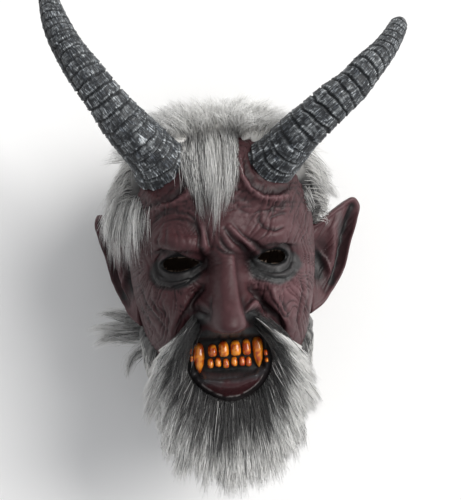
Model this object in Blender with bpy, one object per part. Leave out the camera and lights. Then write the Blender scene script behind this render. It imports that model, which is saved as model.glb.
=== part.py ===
"""Horned devil mask that covers the whole head: moulded latex with fur glued on.

The mask lies on its back. +X is the viewer's right, +Y points to the crown and the
horns, and +Z comes out of the face. The origin is the middle of the flat place that
the back of the fur rests on, level with the eyes. Lengths here are millimetres and
angles are degrees, and MM turns millimetres into metres where a mesh is made.
"""

import math

import bmesh
import bpy
import numpy as np

MM = 0.001
SIDES = ("left", "right")
FLAT_FACE_ANGLE = 3.5

# Latex head
WALL = 3.0
WALL_SPARE = 0.4
CROWN_Y = 112.0
CAP_START_Y = 40.0
CAP_POWER = 2.2
NECK_RIM_Y = -160.0
FRONT_POWER = 2.5
BACK_POWER = 2.6
FACE_MIDDLE_X = -2.7
HEAD_STATIONS = (
    # y, half width, front z, back z
    (40, 78, 200, 9),
    (20, 79, 200, 8.5),
    (0, 78.5, 195, 9),
    (-20, 77, 191, 12),
    (-45, 72, 188, 19),
    (-70, 66, 185, 28),
    (-95, 60, 178, 37),
    (-118, 56, 162, 43),
    (-138, 54, 142, 46),
    (-160, 58, 134, 42),
)

# Nose
NOSE_STATIONS = (
    # y, height, half width
    (30, 0, 9),
    (14, 7, 10),
    (-9, 19, 12),
    (-30, 32, 14.5),
    (-44, 44, 17),
    (-51, 42, 17.5),
    (-57, 16, 17),
    (-61, 0, 16),
)
NOSTRIL_WING = (21, -40, 7.5, 8, 13)

# Eye holes, one row a side: inner end x, outer end x, middle y, rise, fall
EYE_HOLES = ((-20.7, -50.4, 0.6, 5.4, 6.6), (25.0, 48.6, 0.7, 5.8, 5.4))

# Teeth: middle x, top y, bottom y, half width
FANGS = ((-27.0, -63.5, -88.0, 5.0), (20.8, -61.0, -86.5, 4.6))
UPPER_TEETH = (
    (-15.8, -65.5, -75.5, 3.6),
    (-6.8, -63.5, -76.0, 4.0),
    (2.8, -63.5, -76.0, 4.0),
    (11.6, -63.0, -76.0, 3.2),
)
LOWER_TEETH_X = (-17.9, -11.9, -5.6, 1.1, 7.4, 12.5)
LOWER_TEETH_Y = (-76.8, -84.8)
LOWER_TOOTH_HALF_WIDTH = 2.3

# Ears
EAR_ROOT_X = 75.0
EAR_ROOT_Z = 110.0
EAR_SWEEP = {"left": 54.0, "right": 28.0}
EAR_OUTLINE = (
    # outward from the root, up
    (-3, 24), (9, 27), (20, 33), (32, 40), (44, 46), (51, 48), (56, 42),
    (53, 29), (45, 9), (35, -16), (22, -32), (10, -43), (-3, -50),
)
EAR_CENTRE = (20, 2)
EAR_THICKNESS = 3.6

# Horns: x, y, z and radius down the middle, from inside the forehead to the tip
HORN_STATIONS = {
    "left": (
        (-40, 70, 148, 21.5), (-47, 81, 166, 21.9), (-55, 93, 180, 21.0), (-63, 102, 190, 20.2),
        (-75, 116, 200, 18.5), (-88, 135, 206, 16.0), (-101, 155, 205, 15.1),
        (-112, 174, 198, 13.2), (-121, 195, 187, 11.7), (-127, 218, 172, 9.1), (-129, 229, 163, 8.1),
    ),
    "right": (
        (30, 64, 148, 21.5), (40, 75, 166, 21.9), (52, 85, 184, 20.0), (63, 96, 196, 18.4),
        (78, 108, 204, 17.0), (93, 120, 207, 16.2), (107, 130, 205, 14.6), (123, 146, 198, 13.1),
        (135, 157, 189, 11.3), (148, 172, 175, 9.5), (158, 187, 160, 8.2),
    ),
}
HORN_SIDES = 12
HORN_RINGS = 18
HORN_RING_RISE = 0.8
HORN_RING_FALL = 1.4

# Fur
CLEARANCE = 0.5
FUR_BACKING = 1.8
FUR_BELOW_SKIN = 24.0
FUR_BACK = 9.0
FUR_CROWN = 11.0
FUR_SIDE = 16.0
FUR_REST_PAD = 8.0
NAPE_Y = -142.0
HAIRLINE = (
    # y, angle round the head from the middle of the face
    (112, -12), (105, -12), (101, 12), (96, 30), (88, 43), (75, 52), (62, 57), (50, 63),
    (40, 72), (30, 84), (18, 98), (-40, 102), (-50, 93), (-60, 76), (-68, 64), (-80, 58),
    (-160, 58),
)

COLOURS = {
    "latex": (0.115, 0.048, 0.054),
    "horn": (0.040, 0.047, 0.052),
    "fur": (0.50, 0.50, 0.47),
}
ROUGHNESS = {"latex": 0.5, "horn": 0.6, "fur": 0.9}


def clear_scene():
    """Remove whatever the scene holds."""
    for item in list(bpy.data.objects):
        bpy.data.objects.remove(item, do_unlink=True)


def make_material(name):
    """Make a Principled material with the colour and roughness of its name."""
    material = bpy.data.materials.new(name)
    material.use_nodes = True
    shader = material.node_tree.nodes["Principled BSDF"]
    shader.inputs["Base Color"].default_value = (*COLOURS[name], 1.0)
    shader.inputs["Roughness"].default_value = ROUGHNESS[name]
    shader.inputs["Metallic"].default_value = 0.0
    return material


def make_object(name, points, faces, material=None):
    """Make a smooth mesh object from points in millimetres, with its faces turned outward."""
    mesh = bpy.data.meshes.new(name)
    scaled = np.asarray(points, dtype=float) * MM
    mesh.from_pydata(scaled.tolist(), [], faces)
    solid = bmesh.new()
    solid.from_mesh(mesh)
    bmesh.ops.recalc_face_normals(solid, faces=solid.faces)
    solid.to_mesh(mesh)
    solid.free()
    mesh.shade_smooth()
    if material:
        mesh.materials.append(material)
    item = bpy.data.objects.new(name, mesh)
    bpy.context.scene.collection.objects.link(item)
    return item


def make_guide(name, points, faces):
    """Make a guide object that is never rendered."""
    item = make_object(name, points, faces)
    item.hide_render = True
    item.display_type = "WIRE"
    return item


def combine(item, operation, guides, solver="EXACT"):
    """Add a Boolean modifier to an object for each guide."""
    for guide in guides:
        step = item.modifiers.new(f"{operation.lower()} {guide.name}", "BOOLEAN")
        step.operation = operation
        step.solver = solver
        step.object = guide


def merge_flat_faces(item):
    """Join neighbouring faces that lie almost in one plane."""
    step = item.modifiers.new("join flat faces", "DECIMATE")
    step.decimate_type = "DISSOLVE"
    step.angle_limit = math.radians(FLAT_FACE_ANGLE)


def ease(start, end, value):
    """Go smoothly from 0 at start to 1 at end."""
    part = np.clip((np.asarray(value, dtype=float) - start) / (end - start), 0.0, 1.0)
    return part * part * (3.0 - 2.0 * part)


def follow(stations, at):
    """Read each column of a station table at a value of its first column, smoothly."""
    table = np.asarray(stations, dtype=float)
    table = table[np.argsort(table[:, 0])]
    keys = table[:, 0]
    at = np.clip(np.asarray(at, dtype=float), keys[0], keys[-1])
    slopes = np.gradient(table[:, 1:], keys, axis=0)
    index = np.clip(np.searchsorted(keys, at, side="right") - 1, 0, len(keys) - 2)
    step = keys[index + 1] - keys[index]
    part = ((at - keys[index]) / step)[..., None]
    step = step[..., None]
    low, high = table[index, 1:], table[index + 1, 1:]
    rise = (1 + 2 * part) * (1 - part) ** 2 * low + part**2 * (3 - 2 * part) * high
    bend = part * (1 - part) ** 2 * slopes[index] - part**2 * (1 - part) * slopes[index + 1]
    return np.moveaxis(rise + bend * step, -1, 0)


def smooth_path(points, count):
    """Place count points evenly along a smooth curve through the given points."""
    points = np.asarray(points, dtype=float)
    steps = np.linalg.norm(np.diff(points[:, :3], axis=0), axis=1)
    along = np.concatenate(([0.0], np.cumsum(steps)))
    table = np.column_stack((along, points))
    fine = np.linspace(0.0, along[-1], 12 * len(points))
    curve = follow(table, fine).T
    steps = np.linalg.norm(np.diff(curve[:, :3], axis=0), axis=1)
    length = np.concatenate(([0.0], np.cumsum(steps)))
    even = np.linspace(0.0, length[-1], count)
    return np.column_stack([np.interp(even, length, column) for column in curve.T])


def bump(x, y, middle_x, middle_y, radius_x, radius_y, height):
    """A rounded hill, or a hollow where its height is negative."""
    across = (x - middle_x) / radius_x
    up = (y - middle_y) / radius_y
    return height * np.exp(-(across**2 + up**2))


def fold(x, y, points, width, height):
    """A ridge, or a groove, along a line of points, fading out at both ends."""
    nearest = np.full(np.shape(x), 1e9)
    place = np.zeros(np.shape(x))
    points = np.asarray(points, dtype=float)
    lengths = np.linalg.norm(np.diff(points, axis=0), axis=1)
    total = lengths.sum()
    start = 0.0
    for (ax, ay), (bx, by), length in zip(points[:-1], points[1:], lengths):
        part = ((x - ax) * (bx - ax) + (y - ay) * (by - ay)) / length**2
        part = np.clip(part, 0.0, 1.0)
        distance = np.hypot(x - ax - part * (bx - ax), y - ay - part * (by - ay))
        closer = distance < nearest
        nearest = np.where(closer, distance, nearest)
        place = np.where(closer, (start + part * length) / total, place)
        start += length
    fade = np.sqrt(np.clip(np.sin(math.pi * np.clip(place, 0.04, 0.96)), 0.0, 1.0))
    return height * fade * np.exp(-((nearest / width) ** 2))


def signed_power(value, power):
    """Raise the size of a value to a power and keep its sign."""
    return np.sign(value) * np.abs(value) ** power


def bare_head(theta, y):
    """Point on the smooth head at an angle round it, 0 at the face, and a height."""
    theta, y = np.broadcast_arrays(np.asarray(theta, dtype=float), np.asarray(y, dtype=float))
    width, front, back = follow(HEAD_STATIONS, np.minimum(y, CAP_START_Y))
    rise = np.clip((y - CAP_START_Y) / (CROWN_Y - CAP_START_Y), 0.0, 1.0)
    shrink = (1.0 - rise**CAP_POWER) ** (1.0 / CAP_POWER)
    middle = (front + back) / 2.0
    power = np.where(np.cos(theta) > 0, 2.0 / FRONT_POWER, 2.0 / BACK_POWER)
    x = shrink * width * signed_power(np.sin(theta), power)
    z = middle + shrink * (front - middle) * signed_power(np.cos(theta), power)
    return np.stack((x, y, z), axis=-1)


def nose(x, y):
    """Long hooked nose with its two wings."""
    height, half_width = follow(NOSE_STATIONS, y)
    inside = (y > NOSE_STATIONS[-1][0]) & (y < NOSE_STATIONS[0][0])
    across = np.abs((x - FACE_MIDDLE_X * ease(10, -40, y)) / half_width)
    shape = np.where(inside, height, 0.0) * np.exp(-(across**2.6))
    wing_x, wing_y, radius_x, radius_y, rise = NOSTRIL_WING
    for side in (-1, 1):
        middle = FACE_MIDDLE_X + side * wing_x
        shape = shape + bump(x, y, middle, wing_y, radius_x, radius_y, rise)
        shape = shape + bump(x, y, middle - side * 6, wing_y - 12, 6, 5, -7)
    return shape


def brow_and_eyes(x, y):
    """Heavy slanting brows over deep eye sockets, with a bag under each eye."""
    shape = bump(x, y, 0, 26, 14, 10, 3)
    for side in (-1, 1):
        brow = [(side * 62, 15), (side * 48, 20), (side * 30, 15), (side * 12, 7)]
        shape = shape + fold(x, y, brow, 8.5, 11)
        shape = shape + bump(x, y, side * 36, 0, 21, 9, -15)
        shape = shape + bump(x, y, side * 16, 0, 7, 8, -6)
        shape = shape + bump(x, y, side * 35, 0, 12, 7.5, 6)
        shape = shape + bump(x, y, side * 42, -14, 15, 6, 4)
        shape = shape + bump(x, y, side * 45, 40, 18, 12, 3.5)
    return shape


def cheeks(x, y):
    """Cheekbones, the deep folds beside the nose and the hanging jowls."""
    shape = np.zeros(np.shape(x))
    for side in (-1, 1):
        inner = [(side * 22, -22), (side * 30, -42), (side * 39, -60), (side * 44, -70)]
        outer = [(side * 32, -24), (side * 41, -44), (side * 51, -64)]
        shape = shape + bump(x, y, side * 54, -24, 22, 20, 7)
        shape = shape + fold(x, y, inner, 6.0, -6.5)
        shape = shape + fold(x, y, outer, 7.5, 7)
        shape = shape + bump(x, y, side * 62, -92, 16, 16, -5)
    return shape


def mouth(x, y):
    """Bared muzzle with sunken gums, a full lower lip and the chin."""
    across = (x - FACE_MIDDLE_X) / 26.0
    shape = bump(x, y, FACE_MIDDLE_X, -76, 36, 27, 9)
    gum = ease(30, 25, np.abs(x - FACE_MIDDLE_X)) * ease(-92, -87, y) * ease(-59, -64, y)
    shape = shape - 9.0 * gum
    lip_y = -99.5 + 8.5 * across**2
    lip = np.exp(-(((y - lip_y) / 7.5) ** 2)) * ease(1.15, 0.75, np.abs(across))
    return shape + 12.0 * lip + bump(x, y, FACE_MIDDLE_X, -118, 26, 10, 9)


def horn_sockets(x, y):
    """Raised skin round the root of each horn."""
    shape = np.zeros(np.shape(x))
    for side in (-1, 1):
        away = np.hypot(x - side * 42, y - 74)
        shape = shape + 5.0 * np.exp(-(((away - 25) / 6.0) ** 2))
    return shape


def face_height(x, y):
    """How far the face stands out of the smooth head."""
    return nose(x, y) + brow_and_eyes(x, y) + cheeks(x, y) + mouth(x, y) + horn_sockets(x, y)


def face_weight(theta):
    """Share of the face's relief at an angle round the head: all in front, none behind."""
    return ease(0.06, 0.42, np.cos(theta))


def sculpt(points, theta):
    """Push the front of the smooth head into the face."""
    x, y = points[..., 0], points[..., 1]
    facing = face_weight(theta)
    droop = bump(x, y, FACE_MIDDLE_X, -48, 13, 8, -4.0)
    shaped = points.copy()
    shaped[..., 2] += facing * face_height(x, y)
    shaped[..., 1] += facing * droop
    return shaped


def skin(theta, y):
    """Point on the outside of the latex head."""
    theta, y = np.broadcast_arrays(np.asarray(theta, dtype=float), np.asarray(y, dtype=float))
    return sculpt(bare_head(theta, y), theta)


def head_columns():
    """Angles round the head, close together over the face and open behind."""
    steps = [0.0]
    for count, step in ((6, 4.2), (3, 5.8), (3, 9.4), (3, 24.0)):
        steps += [steps[-1] + step * (number + 1) for number in range(count)]
    half = np.radians(steps)
    return np.concatenate((-half[:0:-1], half, [math.pi]))


def head_rows():
    """Heights from the neck rim up to the row below the crown."""
    neck = [NECK_RIM_Y, -145, -130]
    face = np.arange(-119.0, 26.0, 6.0)
    forehead = [33.0, CAP_START_Y]
    rise = np.sin(np.radians((18, 36, 53, 69, 81)))
    cap = CAP_START_Y + (CROWN_Y - CAP_START_Y) * rise
    return np.concatenate((neck, face, forehead, cap))


def closed_tube_faces(rows, columns):
    """Faces of a tube of rings with a point in the middle of each end."""
    faces = []
    for row in range(rows - 1):
        for column in range(columns):
            after = (column + 1) % columns
            here = row * columns
            above = here + columns
            faces.append((here + column, here + after, above + after))
            faces.append((here + column, above + after, above + column))
    first = rows * columns
    last = first + 1
    top = (rows - 1) * columns
    for column in range(columns):
        after = (column + 1) % columns
        faces.append((first, after, column))
        faces.append((last, top + column, top + after))
    return faces


def head_solid(surface, top, grow=0.0):
    """Closed solid inside a surface of the head, pushed out by a distance."""
    theta = head_columns()
    rows = head_rows()
    points = surface(theta[None, :], rows[:, None])
    if grow:
        points = points + grow * surface_normals(points)
    rim_middle = points[0].mean(axis=0)
    flat = points.reshape(-1, 3)
    ends = np.array([rim_middle, (0.0, top + grow, bare_head(0.0, CROWN_Y)[2])])
    faces = closed_tube_faces(len(rows), len(theta))
    return np.vstack((flat, ends)), faces


def surface_normals(points):
    """Outward unit normals of a grid of rings that closes round the head."""
    around = np.roll(points, -1, axis=1) - np.roll(points, 1, axis=1)
    up = np.gradient(points, axis=0)
    normals = np.cross(around, up)
    return normals / np.linalg.norm(normals, axis=-1, keepdims=True)


def cavity_solid():
    """Hollow inside the head, a wall's thickness inside the skin and smoother than it."""
    theta = head_columns()
    rows = np.concatenate((head_rows()[:4], head_rows()[6::2]))
    points = bare_head(theta[None, :], rows[:, None])
    points = points - (WALL + WALL_SPARE) * surface_normals(points)
    lowest = np.full(points.shape[:2], 1e9)
    for step_x in (-7.0, 0.0, 7.0):
        for step_y in (-12.0, -8.0, -4.0, 0.0, 4.0, 8.0, 12.0):
            nearby = face_height(points[..., 0] + step_x, points[..., 1] + step_y)
            lowest = np.minimum(lowest, nearby)
    points[..., 2] += lowest * face_weight(theta)
    points[0, :, 1] = NECK_RIM_Y - 8.0
    rim_middle = points[0].mean(axis=0)
    crown = (0.0, CROWN_Y - WALL - WALL_SPARE, axis_height(CROWN_Y))
    faces = closed_tube_faces(len(rows), len(theta))
    return np.vstack((points.reshape(-1, 3), [rim_middle, crown])), faces


def axis_height(y):
    """Height of the middle of the head at a level."""
    _, front, back = follow(HEAD_STATIONS, np.minimum(y, CAP_START_Y))
    return (front + back) / 2.0


def tooth_solid(middle, top, bottom, half_width, proud, sides, pointed):
    """Tooth from its root in the gum to its tip, half sunk in the gum."""
    levels = (0.0, 0.18, 0.5, 0.8, 1.0) if pointed else (0.0, 0.25, 0.8, 1.0)
    fullness = (0.55, 0.92, 1.0, 0.78, 0.25) if pointed else (0.65, 1.0, 0.95, 0.7)
    gum_z = float(skin_depth(middle, 0.5 * (top + bottom))) + 0.5
    points = []
    for level, full in zip(levels, fullness):
        y = top + (bottom - top) * level
        for number in range(sides):
            angle = 2 * math.pi * number / sides
            depth = proud * full * (0.75 + 0.25 * level)
            x = middle + half_width * full * math.cos(angle)
            points.append((x, y, gum_z + depth * math.sin(angle)))
    points.append((middle, top + 0.6, gum_z))
    points.append((middle, bottom - 0.8, gum_z))
    return points, closed_tube_faces(len(levels), sides)


def make_teeth():
    """Two long fangs, four upper teeth and six lower teeth."""
    teeth = []
    for middle, top, bottom, half_width in FANGS:
        teeth.append((middle, top, bottom, half_width, 9.0, 8, True))
    for middle, top, bottom, half_width in UPPER_TEETH:
        teeth.append((middle, top, bottom, half_width, 7.0, 6, False))
    top, bottom = LOWER_TEETH_Y
    for middle in LOWER_TEETH_X:
        teeth.append((middle, top, bottom, LOWER_TOOTH_HALF_WIDTH, 5.0, 6, False))
    solids = [tooth_solid(*tooth) for tooth in teeth]
    return [make_guide(f"tooth {number}", *solid) for number, solid in enumerate(solids)]


def ear_relief(out, up):
    """Depth of the hollows in the front of an ear below its rim."""
    bowl = bump(out, up, 11, -6, 11, 17, -9)
    trough = fold(out, up, [(48, 40), (40, 16), (30, -12), (18, -30)], 6.0, -6.5)
    ridge = fold(out, up, [(40, 36), (24, 16), (4, 2)], 5.0, 3.0)
    return bowl + trough + ridge


def ear_solid(side, grow=0.0):
    """Pointed ear as a closed cup; grow makes it larger all round."""
    sign = -1 if side == "left" else 1
    sweep = math.radians(EAR_SWEEP[side])
    outline = smooth_path(EAR_OUTLINE, 15)
    root = np.array([(-3.0, -25.0), (-3.0, 0.0)])
    outline = np.vstack((outline, root))
    centre = np.array(EAR_CENTRE, dtype=float)
    rays = outline - centre
    outline = outline + grow * rays / np.linalg.norm(rays, axis=1, keepdims=True)
    front_rings = (0.32, 0.6, 0.84, 0.97)
    back_rings = (1.0, 0.9, 0.5)
    points = []
    for ring in front_rings:
        flat = centre + ring * (outline - centre)
        depth = ear_relief(flat[:, 0], flat[:, 1]) + grow
        points += [(a, b, c) for (a, b), c in zip(flat, depth)]
    for ring in back_rings:
        flat = centre + ring * (outline - centre)
        hollow = 6.0 * (1.0 - ring)
        points += [(a, b, -EAR_THICKNESS - hollow * 1.6 - grow) for a, b in flat]
    middle_depth = float(ear_relief(*centre)) + grow
    points.append((centre[0], centre[1], middle_depth))
    points.append((centre[0], centre[1], -EAR_THICKNESS - 11.0 - grow))
    placed = []
    for out, up, proud in points:
        x = EAR_ROOT_X + out * math.cos(sweep) + proud * math.sin(sweep)
        z = EAR_ROOT_Z - out * math.sin(sweep) + proud * math.cos(sweep)
        placed.append((sign * x, up, z))
    return placed, closed_tube_faces(len(front_rings) + len(back_rings), len(outline))


def horn_solid(side, grow=0.0):
    """Ringed horn swept along its bent middle line."""
    stations = np.array(HORN_STATIONS[side], dtype=float)
    rows = 2 * HORN_RINGS + 1
    path = smooth_path(stations, rows)
    centres, radii = path[:, :3], path[:, 3]
    ring = np.where(np.arange(rows) % 2 == 0, -HORN_RING_FALL, HORN_RING_RISE)
    ring = ring * np.clip(radii / 14.0, 0.55, 1.0)
    radii = np.where(grow > 0, radii + HORN_RING_RISE, radii + ring) + grow
    radii[-1] = 0.72 * radii[-1]
    tangents = np.gradient(centres, axis=0)
    tangents /= np.linalg.norm(tangents, axis=1, keepdims=True)
    points = []
    across = np.array((1.0, 0.0, 0.0))
    for centre, tangent, radius in zip(centres, tangents, radii):
        across = across - tangent * across.dot(tangent)
        across /= np.linalg.norm(across)
        third = np.cross(tangent, across)
        for number in range(HORN_SIDES):
            angle = 2 * math.pi * number / HORN_SIDES
            points.append(centre + radius * (math.cos(angle) * across + math.sin(angle) * third))
    points.append(centres[0] - 1.0 * tangents[0])
    points.append(centres[-1] + (2.2 + grow) * tangents[-1])
    return points, closed_tube_faces(rows, HORN_SIDES)


def eye_hole_solid(inner_x, outer_x, middle_y, rise, fall):
    """Almond prism, rounded at its outer end and pointed at its inner end."""
    sides = 14
    points = []
    for z in (150.0, 222.0):
        for number in range(sides):
            turn = 2 * math.pi * number / sides
            part = (1.0 - math.cos(turn)) / 2.0
            height = rise if turn < math.pi else -fall
            lift = (4.0 * part**0.7 * (1.0 - part**0.7)) ** 0.8
            points.append((outer_x + (inner_x - outer_x) * part, middle_y + height * lift, z))
    points.append((0.5 * (inner_x + outer_x), middle_y, 150.0))
    points.append((0.5 * (inner_x + outer_x), middle_y, 222.0))
    return points, closed_tube_faces(2, sides)


def fur_thickness(theta, y):
    """How far the fur stands off the skin; negative where the skin is bare."""
    line = np.interp(y, *np.array(sorted(HAIRLINE), dtype=float).T)
    covered = ease(line - 9.0, line + 14.0, np.degrees(np.abs(theta)))
    covered = covered * ease(NAPE_Y - 6.0, NAPE_Y + 6.0, y)
    side = np.exp(-(((np.degrees(np.abs(theta)) - 80.0) / 38.0) ** 2)) * ease(0.0, 30.0, y)
    crown = ease(60.0, 100.0, y)
    depth = FUR_BACK + (FUR_CROWN - FUR_BACK) * crown + (FUR_SIDE - FUR_BACK) * side * (1 - crown)
    pad = ease(120.0, 165.0, np.degrees(np.abs(theta))) * ease(-70.0, -30.0, y) * ease(100.0, 60.0, y)
    depth = depth + FUR_REST_PAD * pad
    locks = 3.0 * np.cos(9.0 * theta + 0.06 * y) * ease(45.0, 75.0, np.degrees(np.abs(theta)))
    return -FUR_BELOW_SKIN + (depth + locks + FUR_BELOW_SKIN) * covered


def fur_columns():
    """Angles round the head for the fur, even round the back."""
    half = np.radians(np.concatenate((np.arange(0.0, 60.0, 15.0), np.arange(60.0, 180.0, 10.0))))
    return np.concatenate((-half[:0:-1], half, [math.pi]))


def fur_rows():
    """Heights of the rows of the fur, from below the nape to below the crown."""
    low = np.arange(NAPE_Y - 8.0, CAP_START_Y, 15.0)
    rise = np.sin(np.radians((0, 14, 27, 39, 50, 61, 72, 82)))
    return np.concatenate((low, CAP_START_Y + (CROWN_Y - CAP_START_Y) * rise))


def fur_skin():
    """Points of the smooth head under the fur."""
    return bare_head(fur_columns()[None, :], fur_rows()[:, None])


def fur_solid():
    """Hood of fur round the crown, the sides and the back of the head."""
    points = fur_skin()
    theta, rows = fur_columns(), fur_rows()
    thickness = fur_thickness(theta[None, :], rows[:, None])
    points = points + surface_normals(points) * thickness[..., None]
    points[..., 1] = np.maximum(points[..., 1], NAPE_Y - 8.0)
    points[..., 2] = np.maximum(points[..., 2], 0.0)
    rim_middle = points[0].mean(axis=0)
    crown = (0.0, CROWN_Y + FUR_CROWN, axis_height(CROWN_Y))
    faces = closed_tube_faces(len(rows), len(theta))
    return np.vstack((points.reshape(-1, 3), [rim_middle, crown])), faces


def fur_backing():
    """Smooth head, a little larger than the skin, that the fur is hollowed by."""
    points = fur_skin()
    points = points + surface_normals(points) * FUR_BACKING
    points[0, :, 1] -= 5.0
    rim_middle = points[0].mean(axis=0)
    crown = (0.0, CROWN_Y + FUR_BACKING, axis_height(CROWN_Y))
    faces = closed_tube_faces(*points.shape[:2])
    return np.vstack((points.reshape(-1, 3), [rim_middle, crown])), faces


def lock_solid(width, thickness, path, sides=5, rows=6):
    """Flattened lock of hair that tapers to a point; the path runs root to tip."""
    centres = smooth_path(path, rows)
    tangents = np.gradient(centres, axis=0)
    tangents /= np.linalg.norm(tangents, axis=1, keepdims=True)
    points = []
    for number, (centre, tangent) in enumerate(zip(centres, tangents)):
        part = number / (rows - 1)
        full = (0.55 + 0.45 * math.sin(math.pi * min(part * 1.6, 0.5))) * (1.0 - part**2.2) + 0.04
        outward = np.array((0.25 * np.sign(centre[0]), 0.0, 1.0))
        across = np.cross(tangent, outward)
        across /= np.linalg.norm(across)
        proud = np.cross(across, tangent)
        for corner in range(sides):
            angle = 2 * math.pi * corner / sides
            offset = width * full * math.cos(angle) * across + thickness * full * math.sin(angle) * proud
            points.append(centre + offset)
    points.append(centres[0] - tangents[0])
    points.append(centres[-1] + 2.0 * tangents[-1])
    return points, closed_tube_faces(rows, sides)


# Locks that hang clear of the hood: half width, half thickness, then the path
FORELOCKS = (
    (5.0, 3.0, ((-20, 107, 146), (-22, 98, 172), (-24, 84, 192), (-25, 62, 205), (-20, 37, 208))),
    (5.5, 3.2, ((-11, 108, 147), (-13, 99, 173), (-15, 84, 194), (-17, 60, 207), (-21, 30, 208))),
    (6.0, 3.6, ((-2, 109, 147), (-2, 99, 174), (-3, 84, 195), (-6, 58, 209), (-10, 16, 213))),
    (5.0, 3.0, ((8, 108, 147), (8, 99, 173), (7, 84, 194), (2, 62, 207), (-5, 30, 211))),
    (4.5, 2.8, ((18, 107, 146), (18, 98, 172), (15, 84, 191), (10, 70, 203), (3, 48, 209))),
)
SIDE_LOCKS = (
    (5.5, 3.2, ((-58, 66, 132), (-69, 60, 147), (-70, 44, 158), (-66, 28, 164), (-60, 14, 168))),
    (6.5, 3.6, ((-60, 64, 122), (-76, 58, 138), (-79, 40, 148), (-76, 22, 153), (-72, 4, 156))),
    (7.0, 4.0, ((-62, 62, 112), (-82, 56, 126), (-88, 38, 136), (-88, 20, 140), (-86, 0, 143))),
    (7.0, 4.0, ((-64, 60, 102), (-86, 56, 116), (-95, 40, 124), (-98, 22, 127), (-102, 5, 130))),
    (6.0, 3.6, ((60, 64, 118), (74, 62, 138), (82, 52, 142), (84, 42, 142), (83, 33, 141))),
    (7.0, 4.0, ((62, 62, 106), (82, 60, 124), (92, 52, 126), (99, 46, 124), (103, 41, 122))),
    (5.5, 3.4, ((-66, -46, 66), (-82, -47, 76), (-95, -44, 79), (-106, -42, 79), (-115, -42, 78))),
    (5.5, 3.4, ((-64, -58, 68), (-80, -58, 76), (-94, -57, 79), (-106, -58, 79), (-116, -61, 78))),
)
CROWN_LOCKS = (
    (6.0, 4.0, ((14, 100, 104), (17, 114, 106), (20, 122, 107), (24, 129, 108), (27, 134, 108))),
    (6.0, 4.0, ((-28, 96, 104), (-30, 108, 106), (-31, 114, 107), (-33, 120, 108), (-36, 125, 108))),
)

# Beard, from its root round the mouth to its tips
BEARD_ROOT = (
    (-26, -44), (-34, -57), (-37.5, -72), (-36, -88), (-25, -103), (-3, -113),
    (19, -105), (30, -90), (31.5, -74), (28, -58), (18, -45),
)
BEARD_TIP = (
    (-66, -74, 150), (-79, -97, 140), (-72, -130, 146), (-58, -167, 158), (-34, -187, 164),
    (-8, -196, 166), (18, -192, 164), (42, -178, 160), (60, -147, 150), (73, -122, 142), (67, -80, 150),
)
BEARD_LOCKS = 12
BEARD_COLUMNS = 3 * BEARD_LOCKS + 1
BEARD_ROWS = 5


def skin_depth(x, y):
    """Height of the face at a place seen from the front."""
    width = follow(HEAD_STATIONS, np.minimum(y, CAP_START_Y))[0]
    part = np.clip(np.abs(x) / width, 0.0, 0.985)
    theta = np.sign(x) * np.arcsin(part ** (FRONT_POWER / 2.0))
    return skin(theta, y)[..., 2]


def beard_surface(under, grow):
    """Grid of points over the top of the beard, or under it, pushed out by a distance."""
    across = np.linspace(0.0, 1.0, BEARD_COLUMNS)
    root = smooth_path(BEARD_ROOT, BEARD_COLUMNS)
    tip = smooth_path(BEARD_TIP, BEARD_COLUMNS)
    lock = 0.5 + 0.5 * np.cos(2 * math.pi * (across * BEARD_LOCKS + 0.5))
    reach = 1.0 - 0.13 * (1.0 - lock)
    root_z = skin_depth(root[:, 0], root[:, 1])
    grid = []
    for part in np.linspace(0.0, 1.0, BEARD_ROWS):
        along = part * reach
        flat = root + (tip[:, :2] - root) * along[:, None]
        z = root_z + (tip[:, 2] - root_z) * along**1.6
        swell = math.sin(math.pi * min(1.0, 0.12 + 0.88 * part)) ** 0.7
        if under:
            z = z - 3.0 - 15.0 * swell - grow
        else:
            z = z + 1.0 + (6.0 + 2.4 * (lock - 0.5)) * swell + grow
        grid.append(np.column_stack((flat, z)))
    grid = np.array(grid)
    for edge, inner in ((grid[-1], grid[-2]), (grid[:, 0], grid[:, 1]), (grid[:, -1], grid[:, -2])):
        outward = edge - inner
        edge += grow * outward / np.linalg.norm(outward, axis=1, keepdims=True)
    return grid


def beard_solid(grow=0.0):
    """Beard and moustache in one: a fan from the mouth with ridged locks and ragged tips."""
    top = beard_surface(False, grow)
    under = beard_surface(True, grow)
    rows, columns = top.shape[:2]
    points = np.vstack((top.reshape(-1, 3), under.reshape(-1, 3)))
    below = rows * columns
    faces = []
    for row in range(rows - 1):
        for column in range(columns - 1):
            here = row * columns + column
            beyond = here + columns
            faces += [(here, beyond, beyond + 1), (here, beyond + 1, here + 1)]
            faces += [(below + here, below + here + 1, below + beyond + 1)]
            faces += [(below + here, below + beyond + 1, below + beyond)]
    edge = [column for column in range(columns)]
    edge += [row * columns + columns - 1 for row in range(1, rows)]
    edge += [(rows - 1) * columns + column for column in range(columns - 2, -1, -1)]
    edge += [row * columns for row in range(rows - 2, 0, -1)]
    for here, after in zip(edge, edge[1:] + edge[:1]):
        faces += [(here, after, below + after), (here, below + after, below + here)]
    return points, faces


def build_shell(material):
    """Latex head with its ears, teeth, eye holes and hollow inside."""
    shell = make_object("mask_shell", *head_solid(skin, CROWN_Y), material)
    ears = [make_guide(f"{side} ear", *ear_solid(side)) for side in SIDES]
    holes = [make_guide(f"{side} eye hole", *eye_hole_solid(*hole)) for side, hole in zip(SIDES, EYE_HOLES)]
    combine(shell, "UNION", ears + make_teeth())
    combine(shell, "DIFFERENCE", [make_guide("inside of the head", *cavity_solid())] + holes)
    merge_flat_faces(shell)


def build_horns(material, around_head):
    """A ringed horn on each side of the forehead."""
    for side in SIDES:
        horn = make_object(f"horn_{side}", *horn_solid(side), material)
        combine(horn, "DIFFERENCE", [around_head])


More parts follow.
